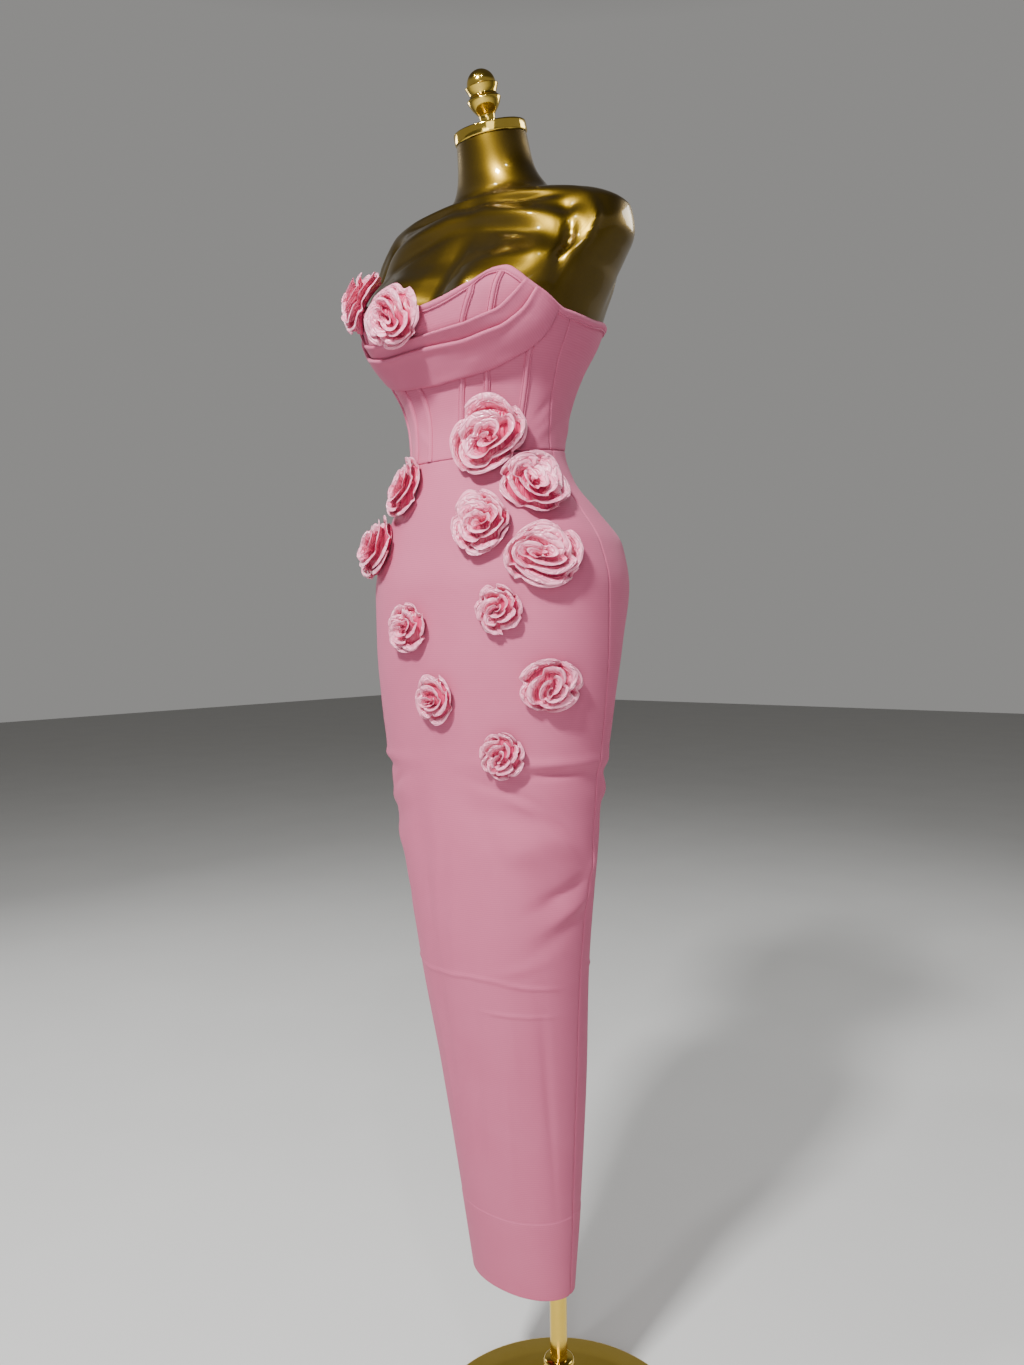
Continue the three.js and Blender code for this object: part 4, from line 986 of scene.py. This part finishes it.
made = tube_piece("neckline_binding", band_point(BAND_SECTION)[:, ::-1], bandage_knit)
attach(made, BODY)
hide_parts("neckline_band")
flat, area = cut_of(band_point(BAND_SECTION[1:17]))
stitch_lines("binding_stitches", [band_point(BAND_STITCH)[:, 0]])

# The cowl
# Two soft folds of the knit cut on the bias and laid across the bust, from side to side. Their
# upper edges are folded over, and their ends are caught in the neckline.
# Each line: the angle where it meets the neckline, then share of the way and height
COWL_TOP = (51, [[0, 1313], [0.45, 1315], [0.76, 1326], [0.88, 1339], [1, 1355]])
COWL_FOLD = (58.5, [[0, 1302.5], [0.31, 1302], [0.7, 1311], [0.88, 1327], [1, 1348]])
COWL_BOTTOM = (77, [[0, 1264.5], [0.38, 1270], [0.73, 1287], [0.9, 1305], [1, 1332]])
# The section of each fold: share from its upper to its lower edge, height above the bodice
UPPER_FOLD = [
    [0.16, 1.4], [0.06, 1.6], [0.0, 2.4], [-0.02, 3.6], [-0.01, 4.8], [0.04, 5.6], [0.12, 5.7], [0.25, 5.0],
    [0.45, 4.2], [0.65, 3.7], [0.85, 3.2], [1.0, 2.7], [1.1, 2.2],
]
LOWER_FOLD = [
    [0.1, 2.9], [0.04, 3.1], [0, 3.9], [-0.012, 5.2], [-0.01, 6.6], [0.015, 7.7], [0.055, 8], [0.12, 7.3],
    [0.22, 6.8], [0.35, 7], [0.5, 6.9], [0.65, 6.5], [0.78, 6], [0.88, 5.6], [0.95, 5], [0.99, 3.9],
    [1, 2.5], [0.985, 1.3],
]
COWL_THICKNESS, COWL_GIRTH, COWL_STEPS = 1.1, 2.2, 44
# Dents and soft swells of the lower fold: angle, height, half length, half width, turn, depth
COWL_RELIEF = [
    [12, 1279, 30, 9, 4, -1.6],
    [30, 1284, 26, 7, 20, 1.2],
    [0, 1284, 16, 2.2, 90, -0.6],
    [44, 1304, 26, 7, 34, -1.0],
    [-16, 1281, 28, 8, -6, -1.4],
    [-40, 1298, 26, 7, -32, 1.0],
]
cowl_shares = np.concatenate([
    np.linspace(-1, -0.97, 4), np.linspace(-0.96, 0.96, 150), np.linspace(0.97, 1, 4)
])[:, None]


def cowl_point(upper, lower, section):
    """Points of a fold between two lines; section runs over its edges."""
    section = np.array(section)
    at, rise = section[None, :, 0], section[None, :, 1]

    def place_on(line):
        angle = cowl_shares * line[0]
        height = smooth_curve(line[1])(np.abs(cowl_shares))[..., 0]
        return angle, np.minimum(height, neck_height(angle) - 0.5)

    top_angle, top_height = place_on(upper)
    low_angle, low_height = place_on(lower)
    angles = mix(top_angle, low_angle, at)
    levels = mix(top_height, low_height, at)
    levels = np.minimum(levels, neck_height(angles) + 0.6)
    caught = 1 - 0.45 * smoothstep(np.abs(cowl_shares), 0.93, 1)
    dents = relief(COWL_RELIEF, angles, levels, COWL_GIRTH) * (1 - caught + 0.55)
    return cloth_point(angles, levels, rise * caught + dents * smoothstep(rise, 3, 6))


def smooth_section(section, count):
    """A section drawn as a smooth line through its points, in evenly spaced steps."""
    section = np.array(section, float)
    run = np.concatenate([[0], np.cumsum(np.linalg.norm(np.diff(section * [30, 1], axis=0), axis=1))])
    table = np.column_stack([run, section])
    return smooth_curve(table)(np.linspace(0, run[-1], count))


for node, upper, lower, section in (
    ("cowl_upper_fold", COWL_TOP, COWL_FOLD, UPPER_FOLD),
    ("cowl_lower_fold", COWL_FOLD, COWL_BOTTOM, LOWER_FOLD),
):
    face = smooth_section(section, COWL_STEPS)
    outer = cowl_point(upper, lower, face)
    around = np.cross(np.gradient(outer, axis=0), np.gradient(outer, axis=1))
    back = outer + unit(around) * COWL_THICKNESS
    rings = np.concatenate([outer, back[:, ::-1]], axis=1)
    made = tube_piece(node + "_cloth", rings, bandage_knit)
    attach(made, BODY)
    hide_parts(node)
    flat, area = cut_of(outer)

# The roses
# Thirteen rosettes of polyester satin. Each is a bias strip folded along its length, wound into a
# spiral and tacked at its foot, so that the folded edge stands up in petals that curl outwards.
# angle, height, radius, rise, turns of the strip, start in degrees, lift, petals in the last turn,
# ruffle, direction of the slit at its heart, how narrow the slit is, how far it lies off the
# middle, and how wide and how tall the outline is
ROSES = [
    [-31, 1368, 36, 26, 4.5, 40, 2.6, 5, 0.5, 70, 0.45, 0.1, 0.95, 0.97, 20],
    [-6, 1337, 36, 24, 4.6, 150, 2.6, 4.4, 0.6, -55, 0.5, 0.14, 1.05, 0.9, 8],
    [35.7, 1198, 44, 26, 4.2, 20, 2.4, 4.2, 0.38, 30, 0.42, 0.08, 0.93, 1, 0],
    [57.4, 1144, 40, 24, 4.6, 250, 1.2, 5, 0.68, -62, 0.55, 0.1, 1.06, 1.06, 0],
    [26.5, 1105, 38, 23, 4.7, 110, 1, 6, 0.98, 15, 0.3, 0.18, 0.95, 1, 0],
    [50.1, 1068, 43, 23, 5.1, 300, 1, 4.2, 0.38, -15, 0.55, 0.16, 1, 0.9, 0],
    [-31.8, 1152, 37, 23, 4.4, 60, 1, 5.5, 0.5, 65, 0.5, 0.1, 0.86, 0.92, 22],
    [-43.6, 1088, 37, 30, 4.4, 200, 1, 4.6, 0.45, 50, 0.4, 0.12, 1.02, 1, 26],
    [-9.6, 991, 30, 18, 3.9, 10, 0.9, 6.5, 1.12, 20, 0.35, 0.1, 0.97, 0.88, 6],
    [2.1, 911, 29, 18, 4.1, 130, 0.9, 4, 0.52, 8, 0.5, 0.2, 0.83, 0.95, 0],
    [31.5, 1010, 30, 18, 4, 280, 0.9, 7, 1.2, 35, 0.35, 0.1, 0.83, 0.88, 0],
    [54.4, 926.5, 34, 19, 4.1, 80, 0.9, 4.6, 0.68, 72, 0.4, 0.14, 0.98, 0.79, 0],
    [32.6, 849, 28, 16, 4, 220, 1.1, 7.4, 1.27, 60, 0.4, 0.12, 0.85, 0.87, 0],
]
ROSE_CORE, ROSE_RIM, ROSE_GAP = 1.6, 1.1, 0.5
BACKING_REACH, BACKING_STEPS = 1.35, 25
COWL_CROSSING, COWL_UNDER = 6.5, 1270  # a rose above that height lies partly on the cowl


class Rosette:
    """A rose's place on the cloth, and the press of its neighbours."""

    def __init__(self, row):
        self.angle, self.height, self.radius, self.rise, self.turns, self.start, self.lift = row[:7]
        self.petals, self.ruffle, self.slit_angle, self.slit, self.offset, self.wide, self.tall = row[7:14]
        self.centre = cloth_face(self.angle, self.height)
        turned = math.radians(row[14])
        x, y, z = outward(cloth_face, self.angle, self.height)
        self.out = np.array([
            x * math.cos(turned) - y * math.sin(turned), x * math.sin(turned) + y * math.cos(turned), z
        ])
        self.level = unit(np.cross([0, 0, 1], self.out))
        self.upward = np.cross(self.out, self.level)
        self.sides = []
        self.fit_backing()

    def powers(self, x, y):
        x, y = x / self.radius, y / self.radius
        return np.stack([x**i * y**j for i in range(5) for j in range(5 - i)], axis=-1)

    def fit_backing(self):
        """Fits how deep the cloth lies behind each place in the rose's plane."""
        across = np.linspace(-1, 1, BACKING_STEPS)
        girth = girth_at(self.angle, self.height)
        angles = self.angle + across[None, :] * self.radius * BACKING_REACH / girth
        levels = self.height + across[:, None] * self.radius * BACKING_REACH
        angles, levels = np.broadcast_arrays(angles, levels)
        away = cloth_face(angles, levels) - self.centre
        x, y = away @ self.level, away @ self.upward
        near = np.hypot(x, y) < 1.3 * self.radius
        wanted = np.stack([away @ self.out, angles, levels], axis=-1)[near]
        self.backing = np.linalg.lstsq(self.powers(x[near], y[near]), wanted, rcond=None)[0]

    def place(self, x, y, height):
        """Points above the cloth at places in the rose's plane, pressed by its neighbours."""
        depth, angle, level = np.moveaxis(self.powers(x, y) @ self.backing, -1, 0)
        follow = 1 - 0.45 * (1 - np.exp(-height / 14))
        lift = self.lift
        if self.height > COWL_UNDER:
            edge = smooth_curve(COWL_TOP[1])(np.minimum(np.abs(angle) / COWL_TOP[0], 1))[..., 0]
            lift = lift + COWL_CROSSING * (1 - smoothstep(level, edge - 4, edge + 14))
        rise = depth * follow + lift + height
        in_plane = self.centre + x[..., None] * self.level + y[..., None] * self.upward
        points = in_plane + rise[..., None] * self.out
        for towards, free, squeeze, push in self.sides:
            reach = (points - self.centre) @ towards
            excess = np.maximum(reach - free, 0) * (squeeze - 1)
            points = points + excess[..., None] * push
        return points


def meet(roses):
    """Two roses that touch press each other flat along the plane between them."""
    for rose in roses:
        for other in roses:
            span = other.centre - rose.centre
            distance = float(np.linalg.norm(span))
            if other is rose or distance > rose.radius + other.radius + 8:
                continue
            towards = span / distance
            room = distance * rose.radius / (rose.radius + other.radius) - ROSE_GAP
            free = 0.3 * room
            squeeze = min((room - free) / (ROSE_RIM * rose.radius + 1 - free), 1)
            flat = towards - (towards @ rose.out) * rose.out
            rose.sides.append((towards, free, squeeze, flat / (flat @ towards)))


def wander(x, rng, pitch):
    """Smooth random values between -1 and 1 that change over a pitch."""
    knots = rng.uniform(-1, 1, int(np.max(x) / pitch) + 4)
    at = x / pitch
    k = np.floor(at).astype(int)
    t = at - k
    return mix(knots[k], knots[k + 1], t * t * (3 - 2 * t))


STRIP_STEPS, STRIP_ROWS = 132, 12  # points in one turn, and across the strip
STRIP_WIDTH = 21
EDGE_ROUND = 0.34
FIRST_PETALS = 1.6  # petals in the first turn
LEAN_IN, LEAN_OUT, LEAN_MOST = 6, 72, 112  # degrees that the strip leans at the heart and the rim
TUCK = 0.84  # the share of a petal where the strip turns in under the next one


def petal_values(petal, share, rng):
    """A random value for each petal, -1 to 1, that changes over where the strip is tucked in."""
    values = rng.uniform(-1, 1, int(petal.max()) + 2)
    return mix(values[petal], values[petal + 1], smoothstep(share, TUCK, 1))


def rose_strip(rose, rng):
    """The folded strip as a closed band, in the rose's own plane: x, y, height, and the painted shade of its
    folds.
    """
    count = int(rose.turns * STRIP_STEPS)
    turn = np.linspace(0, rose.turns, count)[:, None]
    t = turn / rose.turns
    scale = rose.radius / 40
    rim = ROSE_RIM * rose.radius
    phase = rose.turns * (FIRST_PETALS * t + (rose.petals - FIRST_PETALS) * t**2 / 2) + rose.start / 90
    petal = phase.astype(int)
    share = phase - petal
    arch = 1 - (2 * np.clip(share / TUCK, 0, 1) - 1) ** 2
    tuck = bell(np.minimum(np.abs(share - 0.93), np.abs(share + 0.07)), 0.075)
    slide = np.where(share < TUCK, share / TUCK, 1 - smoothstep(share, TUCK, 1)) - 0.5
    spacing = rim / (rose.turns - 0.7)
    spread = ROSE_CORE + (rim - ROSE_CORE) * np.minimum(turn / (rose.turns - 0.7), 1) ** 0.95
    length = 2 * np.pi * np.cumsum(spread, axis=0) / STRIP_STEPS
    ruffle = rose.ruffle * scale * (0.3 + t)
    wave = 18 / (0.6 + rose.ruffle)
    shift = 0.75 * slide + 0.14 * petal_values(petal, share, rng)
    crest = spread + spacing * shift * (0.35 + 0.65 * t)
    crest = crest + arch * 0.16 * spacing - tuck * 0.22 * spacing * t
    broad = 1.5 * wander(length, rng, wave)
    crest = crest + ruffle * (broad + 0.5 * rose.ruffle * wander(length, rng, 0.4 * wave))
    crest = np.clip(crest, 0.9, rim - 0.8 + 0.8 * arch)
    envelope = rose.rise * (1 - 0.62 * (spread / rim) ** 2.2)
    height = envelope * (1 + 0.09 * petal_values(petal, share, rng)) + scale * (
        1.1 * arch - (1.5 + 3.2 * t) * tuck
    )
    broad = 0.9 * wander(length, rng, wave)
    height = height + ruffle * (broad + 0.3 * rose.ruffle * wander(length, rng, 0.4 * wave))
    q = np.linspace(0, 1, STRIP_ROWS)[None, :]
    lean = mix(LEAN_IN, LEAN_OUT, np.minimum(1.15 * t, 1) ** 0.45)
    lean = lean + 9 * petal_values(petal, share, rng)
    lean = np.radians(lean + 8 * (arch - 0.5))
    curl = np.radians(20) * smoothstep(q, 0.7, 1) * (0.3 + 0.7 * t) * (0.5 + 0.6 * arch)
    tangent = np.minimum(lean * (0.35 + 0.75 * q**1.5) + curl, np.radians(LEAN_MOST))
    width = np.minimum(STRIP_WIDTH * scale, envelope * 1.1 + 3)
    step = width / (q.shape[1] - 1)
    run = np.cumsum(np.sin(tangent) * step, axis=1)
    climb = np.cumsum(np.cos(tangent) * step, axis=1)
    radial = crest + run - run[:, -1:]
    level = height + climb - climb[:, -1:]
    swell = (1 + 0.3 * rose.ruffle) * np.sin(np.pi * (0.15 + 0.8 * q))
    swell = swell * wander(length - 9 * q, rng, 0.6 * wave)
    fold = np.sin(2 * np.pi * (1.5 * q + 0.8 * wander(length, rng, 16)) + 1.2) * np.sin(np.pi * q) ** 0.5
    fold = fold * (0.55 + 0.45 * wander(length, rng, 9))
    crimp = 0.25 * (1 - q) * wander(length + 2.5 * q, rng, 2.2)
    gathers = scale * (0.3 + 0.7 * t) * (swell + 0.85 * fold + crimp)
    radial = radial + gathers * np.cos(tangent)
    level = np.maximum(level - gathers * np.sin(tangent), 0.3)
    radial = np.maximum(radial, 0.25)
    puff = EDGE_ROUND * (1 + 0.5 * np.sin(np.pi * q)) + 0 * radial
    side_r, side_h = -np.cos(tangent) * puff, np.sin(tangent) * puff
    inner_r, inner_h = radial + side_r, level + side_h
    outer_r, outer_h = radial - side_r, level - side_h
    tip_r = radial[:, -1:] + np.sin(tangent[:, -1:]) * puff[:, -1:]
    tip_h = level[:, -1:] + np.cos(tangent[:, -1:]) * puff[:, -1:]
    loop_r = np.concatenate([outer_r, tip_r, inner_r[:, ::-1]], axis=1)
    loop_h = np.maximum(np.concatenate([outer_h, tip_h, inner_h[:, ::-1]], axis=1), 0.15)
    # Painted shade: darkest at the foot of the strip and under its tucks, lighter on the outer turns, and
    # lightest at its folded edge
    fold_shade = 1 - np.concatenate([q, [[1.0]], q[:, ::-1]], axis=1) + 0 * loop_r
    fold_shade = fold_shade * (1.1 - 0.6 * t) + 0.12 * tuck
    loop_r = np.clip(loop_r, 0.15, rim + 0.6)
    angle = 2 * np.pi * turn + math.radians(rose.start)
    x, y = open_slit(rose, loop_r * np.cos(angle), loop_r * np.sin(angle))
    return x, y, loop_h, fold_shade


def open_slit(rose, x, y):
    """Narrows the middle of a rose into a slit and moves it off the centre, downwards."""
    inner = 1 - np.clip(np.hypot(x, y) / (ROSE_RIM * rose.radius), 0, 1)
    cosine, sine = math.cos(math.radians(rose.slit_angle)), math.sin(math.radians(rose.slit_angle))
    along = (x * cosine + y * sine) * (1 + 0.35 * inner)
    across = (y * cosine - x * sine) * (1 - rose.slit * inner)
    drop = rose.offset * rose.radius * inner**1.3
    return (along * cosine - across * sine) * rose.wide, (along * sine + across * cosine - drop) * rose.tall


# From the top of the mound to its foot: share of the rose's radius, share of its rise
HEART_SECTION = [
    [0.0, 0.5], [0.3, 0.46], [0.55, 0.4], [0.75, 0.3], [0.86, 0.16], [0.8, 0.0], [0.5, 0.0], [0.0, 0.0],
]
HEART_SIDES = 48


def rose_heart(rose):
    """The gathered cloth that closes the rose under its strip, as a low closed mound."""
    share, level = np.array(HEART_SECTION).T
    angle = np.linspace(0, 2 * np.pi, HEART_SIDES, endpoint=False)[None, :]
    radius = np.maximum(share[:, None] * rose.radius, 0.05)
    height = level[:, None] * rose.rise * (1 - 0.5 * share[:, None] ** 2) + 0.1
    x, y = open_slit(rose, radius * np.cos(angle), radius * np.sin(angle))
    return x, y, height + 0 * angle


# Polyester satin, crushed in the hand: bright filament floats that run along the strip, so it shines in broad
# lights. Its colour carries painted shade: darker along its creases, and a deeper rose down in its folds.
rose_satin, tree, shader = new_material(
    "polyester_satin_rose",
    {"Roughness": 0.25, "Specular IOR Level": 0.75, "Sheen Weight": 0.05, "Sheen Roughness": 0.3},
)
FLOAT_MM = 0.9  # real floats are 0.15 mm across, and are drawn this coarse so that they show
# The depth attribute is painted shade, from the strip's light edge to its dark foot
fold_shade_attribute = add_node(tree, "ShaderNodeAttribute", {"attribute_name": "depth"})
weave = add_node(tree, "ShaderNodeUVMap", {"uv_map": "weave"})
floats = add_node(
    tree, "ShaderNodeTexWave", {"wave_type": "BANDS", "bands_direction": "X"},
    {"Vector": weave.outputs["UV"], "Scale": wave_scale(FLOAT_MM), "Distortion": 2.0, "Detail": 1.0},
)
stretched = add_node(
    tree, "ShaderNodeMapping", {},
    {"Vector": weave.outputs["UV"], "Rotation": (0, 0, math.radians(24)), "Scale": (190, 62, 1)},
)
crush = add_node(
    tree, "ShaderNodeTexNoise", {},
    {"Vector": stretched.outputs["Vector"], "Scale": 1.0, "Detail": 1.0, "Distortion": 0.6},
)
middle = add_node(tree, "ShaderNodeMath", {"operation": "SUBTRACT"}, {0: crush.outputs[0], 1: 0.5})
creased = add_node(tree, "ShaderNodeMath", {"operation": "ABSOLUTE"}, {0: middle.outputs[0]})
opened = add_node(tree, "ShaderNodeMath", {"operation": "POWER"}, {0: creased.outputs[0], 1: 0.7})
# Painted shade along the creases of the crushed satin
crease_shade = add_node(
    tree, "ShaderNodeMapRange", {},
    {"Value": opened.outputs[0], "From Max": 0.14, "To Min": 0.36, "To Max": 0.0},
)
painted_shade = add_node(
    tree, "ShaderNodeMath", {"operation": "ADD"}, {0: fold_shade_attribute.outputs["Fac"], 1: crease_shade.outputs[0]}
)
surface = add_node(
    tree, "ShaderNodeMix", {"data_type": "FLOAT"},
    {0: 0.97, 2: floats.outputs["Color"], 3: opened.outputs[0]},
)
bumps = add_node(
    tree, "ShaderNodeBump", {}, {"Strength": 0.9, "Distance": 0.005, "Height": surface.outputs[0]}
)
# Painted shade: light pink at the strip's edge, deep rose down in its folds and creases
tint = add_node(tree, "ShaderNodeValToRGB", {}, {"Fac": painted_shade.outputs[0]})
for stop, position, code in zip(tint.color_ramp.elements, (0.14, 0.75), ("#FFA2BF", "#C73463")):
    stop.position, stop.color = position, srgb(code)
tint.color_ramp.elements.new(0.4).color = srgb("#FA7EA4")
tree.links.new(tint.outputs["Color"], shader.inputs["Base Color"])
tree.links.new(bumps.outputs["Normal"], shader.inputs["Normal"])

roses = [Rosette(row) for row in ROSES]
meet(roses)
for k, rose in enumerate(roses, start=1):
    rng = np.random.default_rng(100 + k)
    x, y, height, fold_shade = rose_strip(rose, rng)
    rings = rose.place(x, y, height)
    count, around = rings.shape[:2]
    heart = rose.place(*rose_heart(rose))
    rows, columns = heart.shape[:2]
    points = np.concatenate([rings.reshape(-1, 3), heart.reshape(-1, 3)])
    faces = grid_faces(count, around, wrap=True, flip=True)
    faces += [list(range(around)), [(count - 1) * around + j for j in range(around)][::-1]]
    faces += grid_faces(rows, columns, start=count * around, wrap=True, flip=True)
    run = np.linalg.norm(np.diff(rings[:, around // 2], axis=0), axis=-1)
    along = np.concatenate([[0], np.cumsum(run)])
    across = np.abs(np.linspace(-1, 1, around)) * STRIP_WIDTH
    uv = np.stack(np.meshgrid(across, along), axis=-1).reshape(-1, 2)
    uv = np.concatenate([uv, heart.reshape(-1, 3)[:, :2]]) / 1000
    name = f"rose_{k:02d}"
    made = piece_from("satin_" + name, points, faces, uv, rose_satin, 60)
    # The painted shade goes into the depth attribute; the heart under the strip is painted fully shaded
    shade = made.data.attributes.new("depth", "FLOAT", "POINT")
    fold_shade_values = np.concatenate([fold_shade.ravel(), np.ones(rows * columns)])
    shade.data.foreach_set("value", fold_shade_values.astype(np.float32))
    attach(made, BODY)
    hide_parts(name)
    flat, area = cut_of(rings[:, : around // 2 + 1])

# The zip
# A gold metal zip down the centre back: a slider whose pull hangs from a bar between its ears,
# and two rows of teeth crimped on woven tapes that are sewn beside the seam.
for name in ("zip_slider", "zip_pull"):
    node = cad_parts[name]
    node.data.materials.clear()
    node.data.materials.append(gold_plate)

ZIP_TOP, ZIP_BOTTOM = 1319, 1012
TOOTH_PITCH, TOOTH_OFFSET, TOOTH_RISE, TOOTH_SIZE = 2.4, 0.75, 1.1, (2.6, 1.6, 1.3)
TAPE_STITCHES = 10.2
# Across a tape: offset from the seam, height above the cloth
TAPE_SECTION = [[0.9, 0.1], [0.9, 0.7], [1.4, 0.9], [11.4, 0.9], [11.9, 0.7], [12.2, 0.1]]
zip_levels = np.linspace(ZIP_BOTTOM, ZIP_TOP, 150)[:, None]


def zip_point(offsets, rises, levels=zip_levels):
    """Points beside the centre back seam, from offsets round the body and heights above the cloth."""
    angles = 180 + np.asarray(offsets, float) / girth_at(180, levels)
    creased = relief(BODICE_CREASES, angles, levels, BODICE_GIRTH) * smoothstep(levels, 1195, 1215)
    return cloth_point(angles, levels + 0 * angles, creased + np.asarray(rises, float))


toothing = row_tree(
    "zip_teeth", "GeometryNodeMeshCylinder", {"Vertices": 8, "Radius": 0.5, "Depth": 1.0}, "Teeth"
)
rows_of_teeth = [
    zip_point([side * TOOTH_OFFSET], [TOOTH_RISE], zip_levels + shift)[:, 0]
    for side, shift in ((-1, 0), (1, TOOTH_PITCH / 2))
]
size = tuple(measure / 1000 for measure in TOOTH_SIZE)
teeth = plain_mesh(
    line_object("zip_teeth_lines", rows_of_teeth), toothing,
    {"Pitch": TOOTH_PITCH / 1000, "Size": size, "Finish": gold_plate}, "zip_teeth",
)
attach(teeth, BODY)
for word, side in (("left", -1), ("right", 1)):
    section = np.array(TAPE_SECTION)[:: -side]
    rings = zip_point(side * section[None, :, 0], section[None, :, 1])
    made = tube_piece("zip_tape_" + word, rings, bandage_knit)
    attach(made, BODY)
    flat, area = cut_of(rings)
stitch_lines("zip_stitches", [zip_point([side * TAPE_STITCHES], [STITCH_RISE])[:, 0] for side in (-1, 1)])

# The floor, the light and the camera
# A pale floor in a plain studio, lit by soft lamps with the strongest above the front, and seen
# from just under the height of the dress's hip and from its left front.
pale_floor, tree, shader = new_material("pale_floor", {"Roughness": 0.7})
place = add_node(tree, "ShaderNodeTexCoord")
speckle = add_node(
    tree, "ShaderNodeTexNoise", {}, {"Vector": place.outputs["Object"], "Scale": 3.0, "Detail": 4.0}
)
tint = add_node(tree, "ShaderNodeValToRGB", {}, {"Fac": speckle.outputs[0]})
tint.color_ramp.elements[0].color = srgb("#D2D2D0")
tint.color_ramp.elements[1].color = srgb("#DADAD8")
tree.links.new(tint.outputs["Color"], shader.inputs["Base Color"])
FLOOR_HALF, FLOOR_DROP = 12, 0.0005
mesh = bpy.data.meshes.new("floor")
corners = [(-1, -1), (1, -1), (1, 1), (-1, 1)]
mesh.from_pydata([(x * FLOOR_HALF, y * FLOOR_HALF, -FLOOR_DROP) for x, y in corners], [], [[0, 1, 2, 3]])
mesh.materials.append(pale_floor)
floor = bpy.data.objects.new("floor", mesh)
bpy.context.scene.collection.objects.link(floor)

world = bpy.data.worlds.new("studio")
world.use_nodes = True
tree = world.node_tree
towards = add_node(tree, "ShaderNodeTexCoord")
split = add_node(tree, "ShaderNodeSeparateXYZ", {}, {"Vector": towards.outputs["Generated"]})
room = add_node(tree, "ShaderNodeValToRGB", {}, {"Fac": split.outputs["Z"]})
for stop, position, code in zip(room.color_ramp.elements, (0.5, 0.68), ("#B2B1AF", "#5E5C59")):
    stop.position, stop.color = position, srgb(code)
tree.links.new(room.outputs["Color"], tree.nodes["Background"].inputs["Color"])
tree.nodes["Background"].inputs["Strength"].default_value = 0.62
bpy.context.scene.world = world

# name, place, size, power, and the place that the lamp is aimed at
LAMPS = [
    ("key", (0.35, -1.95, 2.9), 0.3, 146, (0, 0, 1.0)),
    ("front_fill", (1.9, -2.3, 1.5), 1.2, 12, (0, 0, 1.0)),
    ("low_fill", (1.2, -2.5, 0.7), 0.9, 17, (0, 0, 0.45)),
    ("side_fill", (-2.6, 0.3, 1.9), 0.8, 20, (0, 0, 1.0)),
    ("back_fill", (0.9, 2.4, 2.4), 1.2, 32, (0, 0, 1.0)),
    ("spot_left", (-0.5, -1.3, 3.1), 0.1, 12, (0, 0, 1.0)),
    ("spot_right", (1.1, -1.2, 3.1), 0.1, 9, (0, 0, 1.0)),
]
for name, location, size, power, aim in LAMPS:
    lamp = bpy.data.lights.new(name, "AREA")
    lamp.size = size
    lamp.energy = power
    made = bpy.data.objects.new(name, lamp)
    bpy.context.scene.collection.objects.link(made)
    offset = np.array(aim) - np.array(location)
    forward = offset / np.linalg.norm(offset)
    side = np.cross(forward, [0, 0, 1])
    side = side / np.linalg.norm(side)
    up = np.cross(side, forward)
    rotation = Matrix([side, up, -forward]).transposed().to_4x4()
    made.matrix_world = Matrix.Translation(location) @ rotation

CAMERA_AROUND, CAMERA_DISTANCE, CAMERA_HEIGHT = math.radians(40), 1.25, 0.98
IMAGE_WIDTH, IMAGE_HEIGHT, FOCAL_PIXELS = 1024, 1365, 1025
AXIS_COLUMN = 498  # the photograph's column where the body's axis stands
CAMERA_PITCH, CAMERA_ROLL = math.radians(-2.6), math.radians(-0.75)
ahead = np.array([-math.sin(CAMERA_AROUND), math.cos(CAMERA_AROUND), 0])
right = np.array([math.cos(CAMERA_AROUND), math.sin(CAMERA_AROUND), 0])
yaw = math.atan((IMAGE_WIDTH / 2 - AXIS_COLUMN) / FOCAL_PIXELS)
forward = ahead * math.cos(yaw) + right * math.sin(yaw)
right = right * math.cos(yaw) - ahead * math.sin(yaw)
forward = forward * math.cos(CAMERA_PITCH) + np.array([0, 0, 1]) * math.sin(CAMERA_PITCH)
up = np.cross(right, forward)
across = right * math.cos(CAMERA_ROLL) + up * math.sin(CAMERA_ROLL)
up = up * math.cos(CAMERA_ROLL) - right * math.sin(CAMERA_ROLL)
lens = bpy.data.cameras.new("camera")
lens.sensor_width = 36
lens.lens = lens.sensor_width * FOCAL_PIXELS / IMAGE_HEIGHT
camera = bpy.data.objects.new("camera", lens)
bpy.context.scene.collection.objects.link(camera)
stand = [CAMERA_DISTANCE * math.sin(CAMERA_AROUND), -CAMERA_DISTANCE * math.cos(CAMERA_AROUND), CAMERA_HEIGHT]
camera.matrix_world = Matrix.Translation(stand) @ Matrix([across, up, -forward]).transposed().to_4x4()
bpy.context.scene.camera = camera

bpy.context.view_layer.update()
